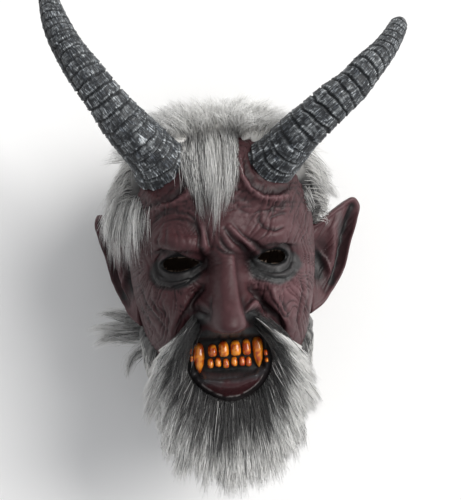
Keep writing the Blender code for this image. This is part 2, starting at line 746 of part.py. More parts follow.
def build_fur(material, around_head, around_ears):
    """Hood of fur with the locks that hang out of it."""
    hood = make_object("hair", *fur_solid(), material)
    locks = []
    for number, lock in enumerate(FORELOCKS + SIDE_LOCKS + CROWN_LOCKS):
        locks.append(make_guide(f"lock {number}", *lock_solid(*lock)))
    horns = [make_guide(f"space round the {side} horn", *horn_solid(side, CLEARANCE)) for side in SIDES]
    beard = make_guide("space round the beard", *beard_solid(CLEARANCE))
    combine(hood, "DIFFERENCE", [make_guide("backing of the fur", *fur_backing())], "MANIFOLD")
    combine(hood, "UNION", locks, "MANIFOLD")
    combine(hood, "DIFFERENCE", [around_head, beard] + around_ears + horns, "MANIFOLD")
    merge_flat_faces(hood)


def build_beard(material, around_head, around_ears):
    """Beard that hangs clear of the chin."""
    beard = make_object("beard", *beard_solid(), material)
    combine(beard, "DIFFERENCE", [around_head] + around_ears)
    merge_flat_faces(beard)


def main():
    """Build the whole mask."""
    clear_scene()
    latex = make_material("latex")
    horn = make_material("horn")
    fur = make_material("fur")
    build_shell(latex)
    around_head = make_guide("space round the skin", *head_solid(skin, CROWN_Y, CLEARANCE))
    build_horns(horn, around_head)
    around_ears = [make_guide(f"space round the {side} ear", *ear_solid(side, CLEARANCE)) for side in SIDES]
    build_fur(fur, around_head, around_ears)
    build_beard(fur, around_head, around_ears)


main()
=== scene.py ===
"""Looks of the horned devil mask: painted latex, ringed horns, glossy teeth and loose fur.

The mask lies on its back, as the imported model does: +X is the viewer's right, +Y points to
the crown and the horns, +Z comes out of the face. Lengths in the shape functions are
millimetres and angles are degrees unless a name says otherwise; MM turns them into metres.
"""

import math

import bpy
import numpy as np
from mathutils import Matrix, Vector


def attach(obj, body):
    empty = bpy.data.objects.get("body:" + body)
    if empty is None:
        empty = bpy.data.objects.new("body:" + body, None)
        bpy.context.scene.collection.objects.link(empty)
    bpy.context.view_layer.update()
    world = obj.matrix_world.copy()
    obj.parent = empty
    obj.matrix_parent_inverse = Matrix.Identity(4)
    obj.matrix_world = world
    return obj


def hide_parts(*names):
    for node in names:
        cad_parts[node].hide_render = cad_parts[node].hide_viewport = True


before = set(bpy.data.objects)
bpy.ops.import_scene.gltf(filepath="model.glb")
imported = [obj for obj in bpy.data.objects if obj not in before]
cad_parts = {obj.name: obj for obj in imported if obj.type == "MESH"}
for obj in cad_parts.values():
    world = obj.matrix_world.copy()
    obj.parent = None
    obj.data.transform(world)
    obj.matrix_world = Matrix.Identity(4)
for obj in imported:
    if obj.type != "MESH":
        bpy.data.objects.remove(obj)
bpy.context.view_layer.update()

MM = 0.001
SIDES = ("left", "right")

# Camera: the photo's own view, worked out from the eyes and the horns
PHOTO_SIZE = (461, 500)
TARGET = (0.0, 0.0, 0.185)
TARGET_PIXEL = (226.0, 261.0)
CAMERA_DISTANCE = 1.2
METRES_PER_PIXEL = 0.0008
CAMERA_ROLL = 4.0
CAMERA_YAW = 2.5
SENSOR = 36.0

# Light, surroundings and floor, in metres where they are lengths
LIGHT_FROM = (0.85, 0.45, 0.82)
LIGHT_STRENGTH = 3.2
LIGHT_SPREAD = 45.0
LIGHT_COLOUR = (1.0, 0.985, 0.96)
SKY_COLOUR = (0.97, 0.98, 1.0, 1.0)
SKY_STRENGTH = 0.53
FLOOR_HALF_WIDTH = 6.0

# Latex head, as in the part
WALL = 3.0
CROWN_Y = 112.0
CAP_START_Y = 40.0
CAP_POWER = 2.2
NECK_RIM_Y = -160.0
FRONT_POWER = 2.5
BACK_POWER = 2.6
FACE_MIDDLE_X = -2.7
HEAD_STATIONS = (
    # y, half width, front z, back z
    (40, 78, 200, 9),
    (20, 79, 200, 8.5),
    (0, 78.5, 195, 9),
    (-20, 77, 191, 12),
    (-45, 72, 188, 19),
    (-70, 66, 185, 28),
    (-95, 60, 178, 37),
    (-118, 56, 162, 43),
    (-138, 54, 142, 46),
    (-160, 58, 134, 42),
)
NOSE_STATIONS = (
    # y, height, half width
    (30, 0, 9),
    (14, 7, 10),
    (-9, 19, 12),
    (-30, 32, 14.5),
    (-44, 44, 17),
    (-51, 42, 17.5),
    (-57, 16, 17),
    (-61, 0, 16),
)
NOSTRIL_WING = (21, -40, 7.5, 8, 13)

# Eye holes, one row a side: inner end x, outer end x, middle y, rise, fall
EYE_HOLES = ((-20.7, -50.4, 0.6, 5.4, 6.6), (25.0, 48.6, 0.7, 5.8, 5.4))

# Teeth: middle x, top y, bottom y, half width
FANGS = ((-27.0, -63.5, -88.0, 5.0), (20.8, -61.0, -86.5, 4.6))
UPPER_TEETH = (
    (-15.8, -65.5, -75.5, 3.9),
    (-6.8, -63.5, -76.0, 4.3),
    (2.8, -63.5, -76.0, 4.3),
    (11.6, -63.0, -76.0, 3.5),
)
LOWER_TEETH_X = (-17.9, -11.9, -5.6, 1.1, 7.4, 12.5)
LOWER_TEETH_Y = (-76.8, -84.8)
LOWER_TOOTH_HALF_WIDTH = 2.5

# Ears
EAR_ROOT_X = 75.0
EAR_ROOT_Z = 110.0
EAR_SWEEP = {"left": 54.0, "right": 28.0}
EAR_OUTLINE = (
    # outward from the root, up
    (-3, 24), (9, 27), (20, 33), (32, 40), (44, 46), (51, 48), (56, 42),
    (53, 29), (45, 9), (35, -16), (22, -32), (10, -43), (-3, -50),
)
EAR_CENTRE = (20, 2)
EAR_THICKNESS = 3.6

# Horns: x, y, z and radius down the middle, from inside the forehead to the tip
HORN_STATIONS = {
    "left": (
        (-40, 70, 148, 21.5), (-47, 81, 166, 21.9), (-55, 93, 180, 21.0), (-63, 102, 190, 20.2),
        (-75, 116, 200, 18.5), (-88, 135, 206, 16.0), (-101, 155, 205, 15.1),
        (-112, 174, 198, 13.2), (-121, 195, 187, 11.7), (-127, 218, 172, 9.1), (-129, 229, 163, 8.1),
    ),
    "right": (
        (30, 64, 148, 21.5), (40, 75, 166, 21.9), (52, 85, 184, 20.0), (63, 96, 196, 18.4),
        (78, 108, 204, 17.0), (93, 120, 207, 16.2), (107, 130, 205, 14.6), (123, 146, 198, 13.1),
        (135, 157, 189, 11.3), (148, 172, 175, 9.5), (158, 187, 160, 8.2),
    ),
}
HORN_SOCKETS = ((-41, 74), (44, 76))

# Fur
FUR_BACK = 9.0
FUR_CROWN = 11.0
FUR_SIDE = 16.0
FUR_REST_PAD = 8.0
NAPE_Y = -142.0
HAIRLINE = (
    # y, angle round the head from the middle of the face
    (112, -12), (105, -12), (101, 12), (96, 30), (88, 43), (75, 52), (62, 57), (50, 63),
    (40, 72), (30, 84), (18, 98), (-40, 102), (-50, 93), (-60, 76), (-68, 64), (-80, 58),
    (-160, 58),
)
BEARD_ROOT = (
    (-26, -44), (-34, -57), (-37.5, -72), (-36, -88), (-25, -103), (-3, -113),
    (19, -105), (30, -90), (31.5, -74), (28, -58), (18, -45),
)
BEARD_TIP = (
    (-66, -74, 150), (-79, -97, 140), (-72, -130, 146), (-58, -167, 158), (-34, -187, 164),
    (-8, -196, 166), (18, -192, 164), (42, -178, 160), (60, -147, 150), (73, -122, 142), (67, -80, 150),
)
BEARD_LOCKS = 12
BEARD_CURVE_POINTS = 121


# Shape functions shared with the part

def ease(start, end, value):
    """Go smoothly from 0 at start to 1 at end."""
    part = np.clip((np.asarray(value, dtype=float) - start) / (end - start), 0.0, 1.0)
    return part * part * (3.0 - 2.0 * part)


def follow(stations, at):
    """Read each column of a station table at a value of its first column, smoothly."""
    table = np.asarray(stations, dtype=float)
    table = table[np.argsort(table[:, 0])]
    keys = table[:, 0]
    at = np.clip(np.asarray(at, dtype=float), keys[0], keys[-1])
    slopes = np.gradient(table[:, 1:], keys, axis=0)
    index = np.clip(np.searchsorted(keys, at, side="right") - 1, 0, len(keys) - 2)
    step = keys[index + 1] - keys[index]
    part = ((at - keys[index]) / step)[..., None]
    step = step[..., None]
    low, high = table[index, 1:], table[index + 1, 1:]
    rise = (1 + 2 * part) * (1 - part) ** 2 * low + part**2 * (3 - 2 * part) * high
    bend = part * (1 - part) ** 2 * slopes[index] - part**2 * (1 - part) * slopes[index + 1]
    return np.moveaxis(rise + bend * step, -1, 0)


def smooth_path(points, count):
    """Place count points evenly along a smooth curve through the given points."""
    points = np.asarray(points, dtype=float)
    steps = np.linalg.norm(np.diff(points[:, :3], axis=0), axis=1)
    along = np.concatenate(([0.0], np.cumsum(steps)))
    table = np.column_stack((along, points))
    fine = np.linspace(0.0, along[-1], 12 * len(points))
    curve = follow(table, fine).T
    steps = np.linalg.norm(np.diff(curve[:, :3], axis=0), axis=1)
    length = np.concatenate(([0.0], np.cumsum(steps)))
    even = np.linspace(0.0, length[-1], count)
    return np.column_stack([np.interp(even, length, column) for column in curve.T])


def bump(x, y, middle_x, middle_y, radius_x, radius_y, height):
    """A rounded hill, or a hollow where its height is negative."""
    across = (x - middle_x) / radius_x
    up = (y - middle_y) / radius_y
    return height * np.exp(-(across**2 + up**2))


def distance_to_line(x, y, points):
    """Distance from each place to a line of points, and how far along the line it is, 0 to 1."""
    nearest = np.full(np.shape(x), 1e9)
    place = np.zeros(np.shape(x))
    points = np.asarray(points, dtype=float)
    lengths = np.linalg.norm(np.diff(points, axis=0), axis=1)
    total = lengths.sum()
    start = 0.0
    for (ax, ay), (bx, by), length in zip(points[:-1], points[1:], lengths):
        part = ((x - ax) * (bx - ax) + (y - ay) * (by - ay)) / length**2
        part = np.clip(part, 0.0, 1.0)
        distance = np.hypot(x - ax - part * (bx - ax), y - ay - part * (by - ay))
        closer = distance < nearest
        nearest = np.where(closer, distance, nearest)
        place = np.where(closer, (start + part * length) / total, place)
        start += length
    return nearest, place


def fold(x, y, points, width, height):
    """A ridge, or a groove, along a line of points, fading out at both ends."""
    nearest, place = distance_to_line(x, y, points)
    fade = np.sqrt(np.clip(np.sin(math.pi * np.clip(place, 0.04, 0.96)), 0.0, 1.0))
    return height * fade * np.exp(-((nearest / width) ** 2))


def signed_power(value, power):
    """Raise the size of a value to a power and keep its sign."""
    return np.sign(value) * np.abs(value) ** power


def bare_head(theta, y):
    """Point on the smooth head at an angle round it, 0 at the face, and a height."""
    theta, y = np.broadcast_arrays(np.asarray(theta, dtype=float), np.asarray(y, dtype=float))
    width, front, back = follow(HEAD_STATIONS, np.minimum(y, CAP_START_Y))
    rise = np.clip((y - CAP_START_Y) / (CROWN_Y - CAP_START_Y), 0.0, 1.0)
    shrink = (1.0 - rise**CAP_POWER) ** (1.0 / CAP_POWER)
    middle = (front + back) / 2.0
    power = np.where(np.cos(theta) > 0, 2.0 / FRONT_POWER, 2.0 / BACK_POWER)
    x = shrink * width * signed_power(np.sin(theta), power)
    z = middle + shrink * (front - middle) * signed_power(np.cos(theta), power)
    return np.stack((x, y, z), axis=-1)


def nose(x, y):
    """Long hooked nose with its two wings."""
    height, half_width = follow(NOSE_STATIONS, y)
    inside = (y > NOSE_STATIONS[-1][0]) & (y < NOSE_STATIONS[0][0])
    across = np.abs((x - FACE_MIDDLE_X * ease(10, -40, y)) / half_width)
    shape = np.where(inside, height, 0.0) * np.exp(-(across**2.6))
    wing_x, wing_y, radius_x, radius_y, rise = NOSTRIL_WING
    for side in (-1, 1):
        middle = FACE_MIDDLE_X + side * wing_x
        shape = shape + bump(x, y, middle, wing_y, radius_x, radius_y, rise)
        shape = shape + bump(x, y, middle - side * 6, wing_y - 12, 6, 5, -7)
    return shape


def brow_and_eyes(x, y):
    """Heavy slanting brows over deep eye sockets, with a bag under each eye."""
    shape = bump(x, y, 0, 26, 14, 10, 3)
    for side in (-1, 1):
        brow = [(side * 62, 15), (side * 48, 20), (side * 30, 15), (side * 12, 7)]
        shape = shape + fold(x, y, brow, 8.5, 11)
        shape = shape + bump(x, y, side * 36, 0, 21, 9, -15)
        shape = shape + bump(x, y, side * 16, 0, 7, 8, -6)
        shape = shape + bump(x, y, side * 35, 0, 12, 7.5, 6)
        shape = shape + bump(x, y, side * 42, -14, 15, 6, 4)
        shape = shape + bump(x, y, side * 45, 40, 18, 12, 3.5)
    return shape


def cheeks(x, y):
    """Cheekbones, the deep folds beside the nose and the hanging jowls."""
    shape = np.zeros(np.shape(x))
    for side in (-1, 1):
        inner = [(side * 22, -22), (side * 30, -42), (side * 39, -60), (side * 44, -70)]
        outer = [(side * 32, -24), (side * 41, -44), (side * 51, -64)]
        shape = shape + bump(x, y, side * 54, -24, 22, 20, 7)
        shape = shape + fold(x, y, inner, 6.0, -6.5)
        shape = shape + fold(x, y, outer, 7.5, 7)
        shape = shape + bump(x, y, side * 62, -92, 16, 16, -5)
    return shape


def mouth(x, y):
    """Bared muzzle with sunken gums, a full lower lip and the chin."""
    across = (x - FACE_MIDDLE_X) / 26.0
    shape = bump(x, y, FACE_MIDDLE_X, -76, 36, 27, 9)
    gum = ease(30, 25, np.abs(x - FACE_MIDDLE_X)) * ease(-92, -87, y) * ease(-59, -64, y)
    shape = shape - 9.0 * gum
    lip_y = -99.5 + 8.5 * across**2
    lip = np.exp(-(((y - lip_y) / 7.5) ** 2)) * ease(1.15, 0.75, np.abs(across))
    return shape + 12.0 * lip + bump(x, y, FACE_MIDDLE_X, -118, 26, 10, 9)


def horn_sockets(x, y):
    """Raised skin round the root of each horn."""
    shape = np.zeros(np.shape(x))
    for side in (-1, 1):
        away = np.hypot(x - side * 42, y - 74)
        shape = shape + 5.0 * np.exp(-(((away - 25) / 6.0) ** 2))
    return shape


def face_height(x, y):
    """How far the face stands out of the smooth head."""
    return nose(x, y) + brow_and_eyes(x, y) + cheeks(x, y) + mouth(x, y) + horn_sockets(x, y)


def face_weight(theta):
    """Share of the face's relief at an angle round the head: all in front, none behind."""
    return ease(0.06, 0.42, np.cos(theta))


def skin(theta, y):
    """Point on the outside of the latex head, before its wrinkles."""
    points = bare_head(theta, y)
    x, y = points[..., 0], points[..., 1]
    facing = face_weight(theta)
    shaped = points.copy()
    shaped[..., 2] += facing * face_height(x, y)
    shaped[..., 1] += facing * bump(x, y, FACE_MIDDLE_X, -48, 13, 8, -4.0)
    return shaped


def skin_depth(x, y):
    """Height of the face at a place seen from the front."""
    width = follow(HEAD_STATIONS, np.minimum(y, CAP_START_Y))[0]
    part = np.clip(np.abs(x) / width, 0.0, 0.985)
    theta = np.sign(x) * np.arcsin(part ** (FRONT_POWER / 2.0))
    return skin(theta, y)[..., 2]


def surface_normals(points):
    """Outward unit normals of a grid of rings that closes round the head."""
    around = np.roll(points, -1, axis=1) - np.roll(points, 1, axis=1)
    up = np.gradient(points, axis=0)
    normals = np.cross(around, up)
    return normals / np.maximum(np.linalg.norm(normals, axis=-1, keepdims=True), 1e-9)


def axis_height(y):
    """Height of the middle of the head at a level."""
    _, front, back = follow(HEAD_STATIONS, np.minimum(y, CAP_START_Y))
    return (front + back) / 2.0


def fur_thickness(theta, y):
    """How far the fur stands off the skin, and how much of a place it covers, 0 to 1."""
    line = np.interp(y, *np.array(sorted(HAIRLINE), dtype=float).T)
    angle = np.degrees(np.abs(theta))
    covered = ease(line - 9.0, line + 14.0, angle) * ease(NAPE_Y - 6.0, NAPE_Y + 6.0, y)
    side = np.exp(-(((angle - 80.0) / 38.0) ** 2)) * ease(0.0, 30.0, y)
    crown = ease(60.0, 100.0, y)
    depth = FUR_BACK + (FUR_CROWN - FUR_BACK) * crown + (FUR_SIDE - FUR_BACK) * side * (1 - crown)
    pad = ease(120.0, 165.0, angle) * ease(-70.0, -30.0, y) * ease(100.0, 60.0, y)
    return depth + FUR_REST_PAD * pad, covered


# Smooth random values that are the same on every run

def lattice(ix, iy, seed):
    """A fixed random value from 0 to 1 for each whole-number place."""
    mixed = np.sin(ix * 127.1 + iy * 311.7 + seed * 74.7) * 43758.5453
    return mixed - np.floor(mixed)


def noise(x, y, seed=0.0):
    """Smooth noise from -1 to 1 with features one unit across."""
    ix, iy = np.floor(x), np.floor(y)
    fx, fy = x - ix, y - iy
    fx = fx * fx * (3 - 2 * fx)
    fy = fy * fy * (3 - 2 * fy)
    low = lattice(ix, iy, seed) * (1 - fx) + lattice(ix + 1, iy, seed) * fx
    high = lattice(ix, iy + 1, seed) * (1 - fx) + lattice(ix + 1, iy + 1, seed) * fx
    return 2.0 * (low * (1 - fy) + high * fy) - 1.0


def rough_noise(x, y, seed=0.0):
    """Noise with finer noise on it."""
    coarse = noise(x, y, seed) * 0.6 + noise(2.1 * x, 2.1 * y, seed + 5) * 0.3
    return coarse + noise(4.3 * x, 4.3 * y, seed + 9) * 0.15


# Meshes

def make_mesh(name, points, triangles, material, colours=None, shine=None):
    """Make a smooth mesh object from points in millimetres and triangles of their numbers."""
    points = np.asarray(points, dtype=np.float32).reshape(-1, 3) * MM
    triangles = np.asarray(triangles, dtype=np.int32).reshape(-1, 3)
    mesh = bpy.data.meshes.new(name)
    mesh.vertices.add(len(points))
    mesh.vertices.foreach_set("co", points.ravel())
    mesh.loops.add(3 * len(triangles))
    mesh.loops.foreach_set("vertex_index", triangles.ravel())
    mesh.polygons.add(len(triangles))
    mesh.polygons.foreach_set("loop_start", np.arange(0, 3 * len(triangles), 3, dtype=np.int32))
    mesh.update(calc_edges=True)
    mesh.validate()
    mesh.shade_smooth()
    if colours is not None:
        paint = mesh.color_attributes.new("Paint", "FLOAT_COLOR", "POINT")
        opaque = np.ones((len(points), 4), dtype=np.float32)
        opaque[:, :3] = np.clip(np.asarray(colours).reshape(-1, 3), 0.0, 1.0)
        paint.data.foreach_set("color", opaque.ravel())
    if shine is not None:
        gloss = mesh.attributes.new("Shine", "FLOAT", "POINT")
        gloss.data.foreach_set("value", np.clip(np.asarray(shine, dtype=np.float32).ravel(), 0.0, 1.0))
    mesh.materials.append(material)
    item = bpy.data.objects.new(name, mesh)
    bpy.context.scene.collection.objects.link(item)
    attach(item, "root")
    return item


def grid_triangles(rows, columns, closed):
    """Triangles of a grid of points, closed round its columns or not."""
    row = np.arange(rows - 1)[:, None]
    column = np.arange(columns if closed else columns - 1)[None, :]
    after = (column + 1) % columns
    here = row * columns + column
    beside = row * columns + after
    above = here + columns
    beyond = beside + columns
    first = np.stack(np.broadcast_arrays(here, beside, beyond), axis=-1).reshape(-1, 3)
    second = np.stack(np.broadcast_arrays(here, beyond, above), axis=-1).reshape(-1, 3)
    return np.concatenate((first, second))


def cap_triangles(ring_start, columns, middle, flip):
    """Fan of triangles from a ring of points to its middle point."""
    here = ring_start + np.arange(columns)
    after = ring_start + (np.arange(columns) + 1) % columns
    middle = np.full(columns, middle)
    return np.column_stack((middle, after, here) if flip else (middle, here, after))


def tube_triangles(rows, columns):
    """Triangles of a tube of rings closed by a middle point at each end."""
    first = rows * columns
    body = grid_triangles(rows, columns, True)
    low = cap_triangles(0, columns, first, True)
    high = cap_triangles((rows - 1) * columns, columns, first + 1, False)
    return np.concatenate((body, low, high))


def dome_triangles(rows, columns):
    """Triangles of a tube of rings closed by a middle point after its last ring."""
    top = cap_triangles((rows - 1) * columns, columns, rows * columns, False)
    return np.vstack((grid_triangles(rows, columns, True), top))


def mix(first, second, share):
    """Blend two colours, or grids of colours, by a share from 0 to 1."""
    share = np.asarray(share)[..., None]
    return np.asarray(first) * (1.0 - share) + np.asarray(second) * share


# Latex head: wrinkles, paint and mesh

LATEX = {
    "base": (0.047, 0.0150, 0.0175),
    # dry-brushed dust, also used for painted highlights
    "dust_and_highlight": (0.128, 0.060, 0.067),
    # dark wash in the creases, also used for painted shade
    "crease_wash_and_shade": (0.012, 0.0055, 0.0065),
    "black": (0.0075, 0.0080, 0.0085),
    # grey paint, also used for painted sheen
    "grey": (0.048, 0.050, 0.051),
    "lip": (0.046, 0.0125, 0.015),
    "lip_top": (0.026, 0.024, 0.026),
    "glue": (0.33, 0.30, 0.29),
    "inside": (0.150, 0.105, 0.078),
}
FACE_ANGLE = 100.0
FACE_COLUMNS = 300
BACK_COLUMNS = 24
FACE_ROW_STEP = 0.88
EYELID_DEPTH = 5.5
FACE_FRONT_Z = 120.0
LINING_GAP = 0.6

# Creases in the latex: depth, width, then the line
CREASES = (
    # rings over the left brow
    (-1.3, 1.3, ((-59, 25), (-57, 34), (-49, 40), (-38, 41), (-28, 39), (-22, 34), (-21, 23))),
    (-1.0, 1.1, ((-53, 28), (-48, 34), (-38, 36), (-29, 34), (-25, 29), (-24, 21))),
    (-1.0, 1.1, ((-54, 39), (-46, 44), (-35, 45), (-25, 43))),
    (-0.9, 1.2, ((-52, 47), (-42, 50), (-31, 49), (-22, 46))),
    (-0.8, 1.0, ((-40, 31), (-37, 23), (-37, 14))),
    (-0.7, 1.0, ((-35, 31), (-32, 21), (-31, 14))),
    (-0.7, 1.0, ((-46, 30), (-47, 22), (-45, 15))),
    (-0.8, 1.0, ((-52, 24), (-54, 16), (-52, 12))),
    # folds between the brows
    (-3.0, 2.1, ((0, 26), (5, 19), (11, 13), (18, 5))),
    (2.2, 2.6, ((5, 27), (11, 20), (18, 13), (24, 7))),
    (-2.6, 1.8, ((7, 28), (13, 20), (20, 14), (29, 7.5))),
    (-2.2, 1.8, ((-5, 21), (-3, 14), (1, 9), (7, 5))),
    (-1.4, 1.4, ((-9, 12), (-3, 7), (5, 5))),
    (-2.2, 1.8, ((-24, 34), (-20, 24), (-21, 12), (-18, 4))),
    (-1.4, 1.4, ((-15, 29), (-14, 19), (-12, 10))),
    (1.6, 2.2, ((-18, 31), (-17, 19), (-15, 8))),
    # swirl and fans over the right brow
    (-1.4, 1.3, ((30, 38), (27, 31), (31, 25), (40, 22), (50, 25))),
    (-1.0, 1.2, ((33, 34), (39, 39), (50, 42))),
    (-0.9, 1.1, ((36, 31), (43, 34), (52, 35))),
    (-0.9, 1.1, ((47, 47), (42, 41), (37, 38))),
    (-0.9, 1.1, ((54, 48), (50, 41), (45, 36))),
    (-0.9, 1.1, ((60, 48), (57, 39), (53, 32))),
    (-0.8, 1.0, ((64, 42), (62, 33), (57, 26))),
    # lines across the forehead
    (-0.9, 1.2, ((2, 55), (13, 56), (22, 52))),
    (-0.9, 1.2, ((0, 47), (14, 48), (24, 44))),
    (-0.9, 1.2, ((2, 39), (11, 41), (20, 36))),
    (-0.7, 1.1, ((-14, 58), (-6, 60), (3, 62))),
    (-0.7, 1.1, ((-16, 48), (-9, 51), (-2, 50))),
    # deep edges of the horn sockets
    (-2.4, 2.2, ((-58, 47), (-49, 51), (-41, 53), (-33, 58), (-27, 67), (-25, 78))),
    (-2.4, 2.2, ((20, 80), (21, 68), (26, 58), (34, 53), (45, 52), (56, 55))),
    (1.8, 2.6, ((17, 84), (17, 68), (22, 56), (32, 48), (46, 47), (58, 50))),
    (1.5, 2.6, ((-60, 43), (-49, 47), (-38, 49), (-29, 55), (-22, 67), (-21, 79))),
    # lids and the folds over them
    (-1.6, 1.5, ((-59, 9), (-51, 11.5), (-39, 9.5), (-28, 5.5), (-18, 2))),
    (-1.6, 1.5, ((21, 12), (28, 7.5), (36, 9), (46, 10.5), (56, 9))),
    (-2.0, 1.7, ((-60, 0), (-61, -9), (-57, -17), (-46, -20), (-33, -15), (-24, -7))),
    (-2.0, 1.7, ((22, -5), (29, -13), (38, -17), (48, -18), (56, -12), (55, -4))),
    (-1.0, 1.2, ((-57, -4), (-53, -11), (-44, -13), (-33, -10), (-25, -4))),
    (-1.0, 1.2, ((25, -4), (32, -9.5), (42, -11), (51, -8), (53, -2))),
    # folds beside the nose and on the cheeks
    (-2.2, 1.9, ((15, -20), (22, -31), (29, -40), (38, -48), (42, -57))),
    (-2.0, 1.9, ((-21, -21), (-29, -30), (-34, -38), (-40, -45), (-46, -54))),
    (-1.5, 1.4, ((23, -24), (28, -35), (35, -43), (40, -53), (43, -62))),
    (-1.2, 1.3, ((31, -23), (34, -33), (40, -42), (45, -52))),
    (-1.1, 1.2, ((39, -25), (42, -35), (47, -44), (49, -54))),
    (-1.2, 1.3, ((59, -14), (62, -28), (58, -43), (54, -57))),
    (-1.0, 1.3, ((67, -16), (68, -34), (61, -50))),
    (-1.4, 1.4, ((-69, -18), (-68, -29), (-61, -39), (-55, -47), (-50, -55))),
    (-1.2, 1.2, ((-61, -20), (-63, -26), (-59, -34), (-53, -41))),
    (-1.0, 1.2, ((-50, -24), (-54, -30), (-52, -38), (-48, -47))),
    (-1.1, 1.2, ((-74, -24), (-70, -37), (-63, -48), (-57, -58))),
    # nostrils and the nose
    (-3.2, 2.2, ((-29, -38), (-25, -35.5), (-20, -38), (-18, -45))),
    (-2.6, 2.0, ((13, -47), (16, -41.5), (21, -41), (27, -44))),
    (-1.0, 1.2, ((13, -35), (18, -32.5), (23, -36))),
    (1.2, 1.5, ((14, -38), (18, -36), (22, -38.5))),
    (-2.2, 1.5, ((-20, -18), (-24, -25), (-29, -32), (-31, -39))),
    (-2.2, 1.5, ((18, -20), (21, -26), (27, -35), (31, -43))),
    (-1.5, 1.3, ((-13, -26), (-15.5, -34), (-15, -42))),
    (-1.5, 1.3, ((11, -28), (12.5, -35), (12, -43))),
    (-1.0, 1.0, ((15, -35), (17, -31.5), (19, -33), (21, -30.5))),
    # gums, lips and chin
    (-1.0, 1.2, ((-12, -56), (-10, -60), (-11, -64))),
    (-0.9, 1.1, ((-3, -57), (-2, -60), (-2, -63))),
    (-1.0, 1.2, ((8, -55), (8, -59), (7, -62))),
    (-2.0, 1.8, ((-35, -86), (-26, -91), (-12, -92), (2, -92), (15, -89), (23, -85))),
)
# Painted patches round the eyes: middle, radii and how much paler than the darker one
EYE_PATCHES = (((-41, -6), 21.5, 14.5, 0.0), ((40, -6), 22.5, 15.5, 0.60))
# Fans of wrinkles on the cheeks: where they start, and how many lines go round
CHEEK_FANS = (((-40, 8), 50.0), ((38, 8), 50.0))


def eye_outline(hole, count=64):
    """Almond outline of an eye hole, rounded at its outer end and pointed at its inner end."""
    inner_x, outer_x, middle_y, rise, fall = hole
    turn = np.linspace(0.0, 2 * math.pi, count, endpoint=False)
    part = (1.0 - np.cos(turn)) / 2.0
    lift = (4.0 * part**0.7 * (1.0 - part**0.7)) ** 0.8
    height = np.where(turn < math.pi, rise, -fall)
    return np.column_stack((outer_x + (inner_x - outer_x) * part, middle_y + height * lift))


def in_eye(hole, x, y):
    """Whether places lie inside an eye hole."""
    inner_x, outer_x, middle_y, rise, fall = hole
    part = (x - outer_x) / (inner_x - outer_x)
    inside = np.clip(part, 0.0, 1.0)
    lift = (4.0 * inside**0.7 * (1.0 - inside**0.7)) ** 0.8
    up = y - middle_y
    return (part > 0) & (part < 1) & (up < rise * lift) & (up > -fall * lift)


def eye_distance(x, y):
    """Distance from each place to the nearer eye hole's outline."""
    nearest = np.full(np.shape(x), 1e9)
    for hole in EYE_HOLES:
        outline = eye_outline(hole)
        closed = np.vstack((outline, outline[:1]))
        nearest = np.minimum(nearest, distance_to_line(x, y, closed)[0])
    return nearest


def broken_lines(across, along, seed, narrow=0.16):
    """Narrow grooves that wander along one direction and break off, from 0 to -1."""
    wander = 0.45 * noise(across * 0.35, along * 0.12, seed)
    groove = np.abs(np.sin(math.pi * (across + 1.6 * wander + 0.35 * noise(across, along * 0.5, seed + 1))))
    strength = ease(-0.55, 0.25, noise(across * 0.9, along * 0.22, seed + 2))
    return -np.exp(-((groove / (2.6 * narrow)) ** 2)) * strength


def crackle(x, y, size, seed):
    """Network of fine creases like those of old leather, from 0 to -1."""
    web = noise(x / size, y / size, seed) + 0.35 * noise(2.3 * x / size, 2.3 * y / size, seed + 1)
    return -np.exp(-((web / 0.13) ** 2))


def cheek_fans(x, y):
    """Fine wrinkles that spread down the cheeks from under each eye."""
    shape = np.zeros(np.shape(x))
    for number, ((middle_x, middle_y), lines) in enumerate(CHEEK_FANS):
        away = np.hypot(x - middle_x, y - middle_y)
        angle = np.arctan2(x - middle_x, middle_y - y)
        bend = 0.16 * noise(x / 14, y / 14, 3 + number)
        grooves = broken_lines(lines / math.pi * (angle + bend), away / 7.0, 8 + 4 * number, 0.2)
        reach = ease(22, 30, away) * ease(90, 64, away) * ease(1.9, 1.3, np.abs(angle))
        shape = shape + 1.35 * (grooves + 0.3) * reach
    return shape


def brow_lines(x, y):
    """Wrinkles that ring the left brow and sweep up over the right one."""
    away = np.hypot((x + 40) * 0.92, y - 20)
    left = broken_lines(away / 3.1, np.arctan2(y - 20, x + 40) * 5, 24)
    left = left * ease(7, 12, away) * ease(40, 32, away) * ease(6, 12, y)
    slant = 0.80 * (x - 40) - 0.60 * (y - 30)
    climb = 0.60 * (x - 40) + 0.80 * (y - 30)
    bend = 5.0 * noise(x / 18, y / 18, 27)
    right = broken_lines((slant + bend) / 3.3, climb / 9, 28)
    right = right * ease(14, 22, x) * ease(10, 15, y) * ease(60, 50, y)
    return 0.95 * (left + 0.2 * ease(38, 30, away)) + 0.95 * right


def forehead_lines(x, y):
    """Wavy wrinkles across the forehead and short ones over the bridge of the nose."""
    reach = ease(30, 40, y) * ease(90, 74, y)
    level = broken_lines((y + 4.0 * noise(x / 16, y / 20, 31)) / 4.2, x / 7, 32) * reach
    bridge = ease(16, 8, np.abs(x + 3)) * ease(-8, 0, y) * ease(16, 9, y)
    short = broken_lines((y + 0.03 * (x + 3) ** 2) / 3.4, x / 6, 36) * bridge
    return level + 0.6 * short


def temple_lines(x, y):
    """Upright wrinkles on the temples and in front of the ears."""
    reach = ease(54, 64, np.abs(x)) * ease(-80, -60, y) * ease(60, 45, y)
    return 0.8 * broken_lines((x + 0.12 * y) / 3.4 + 0.8 * noise(x / 15, y / 15, 39), y / 9, 40) * reach


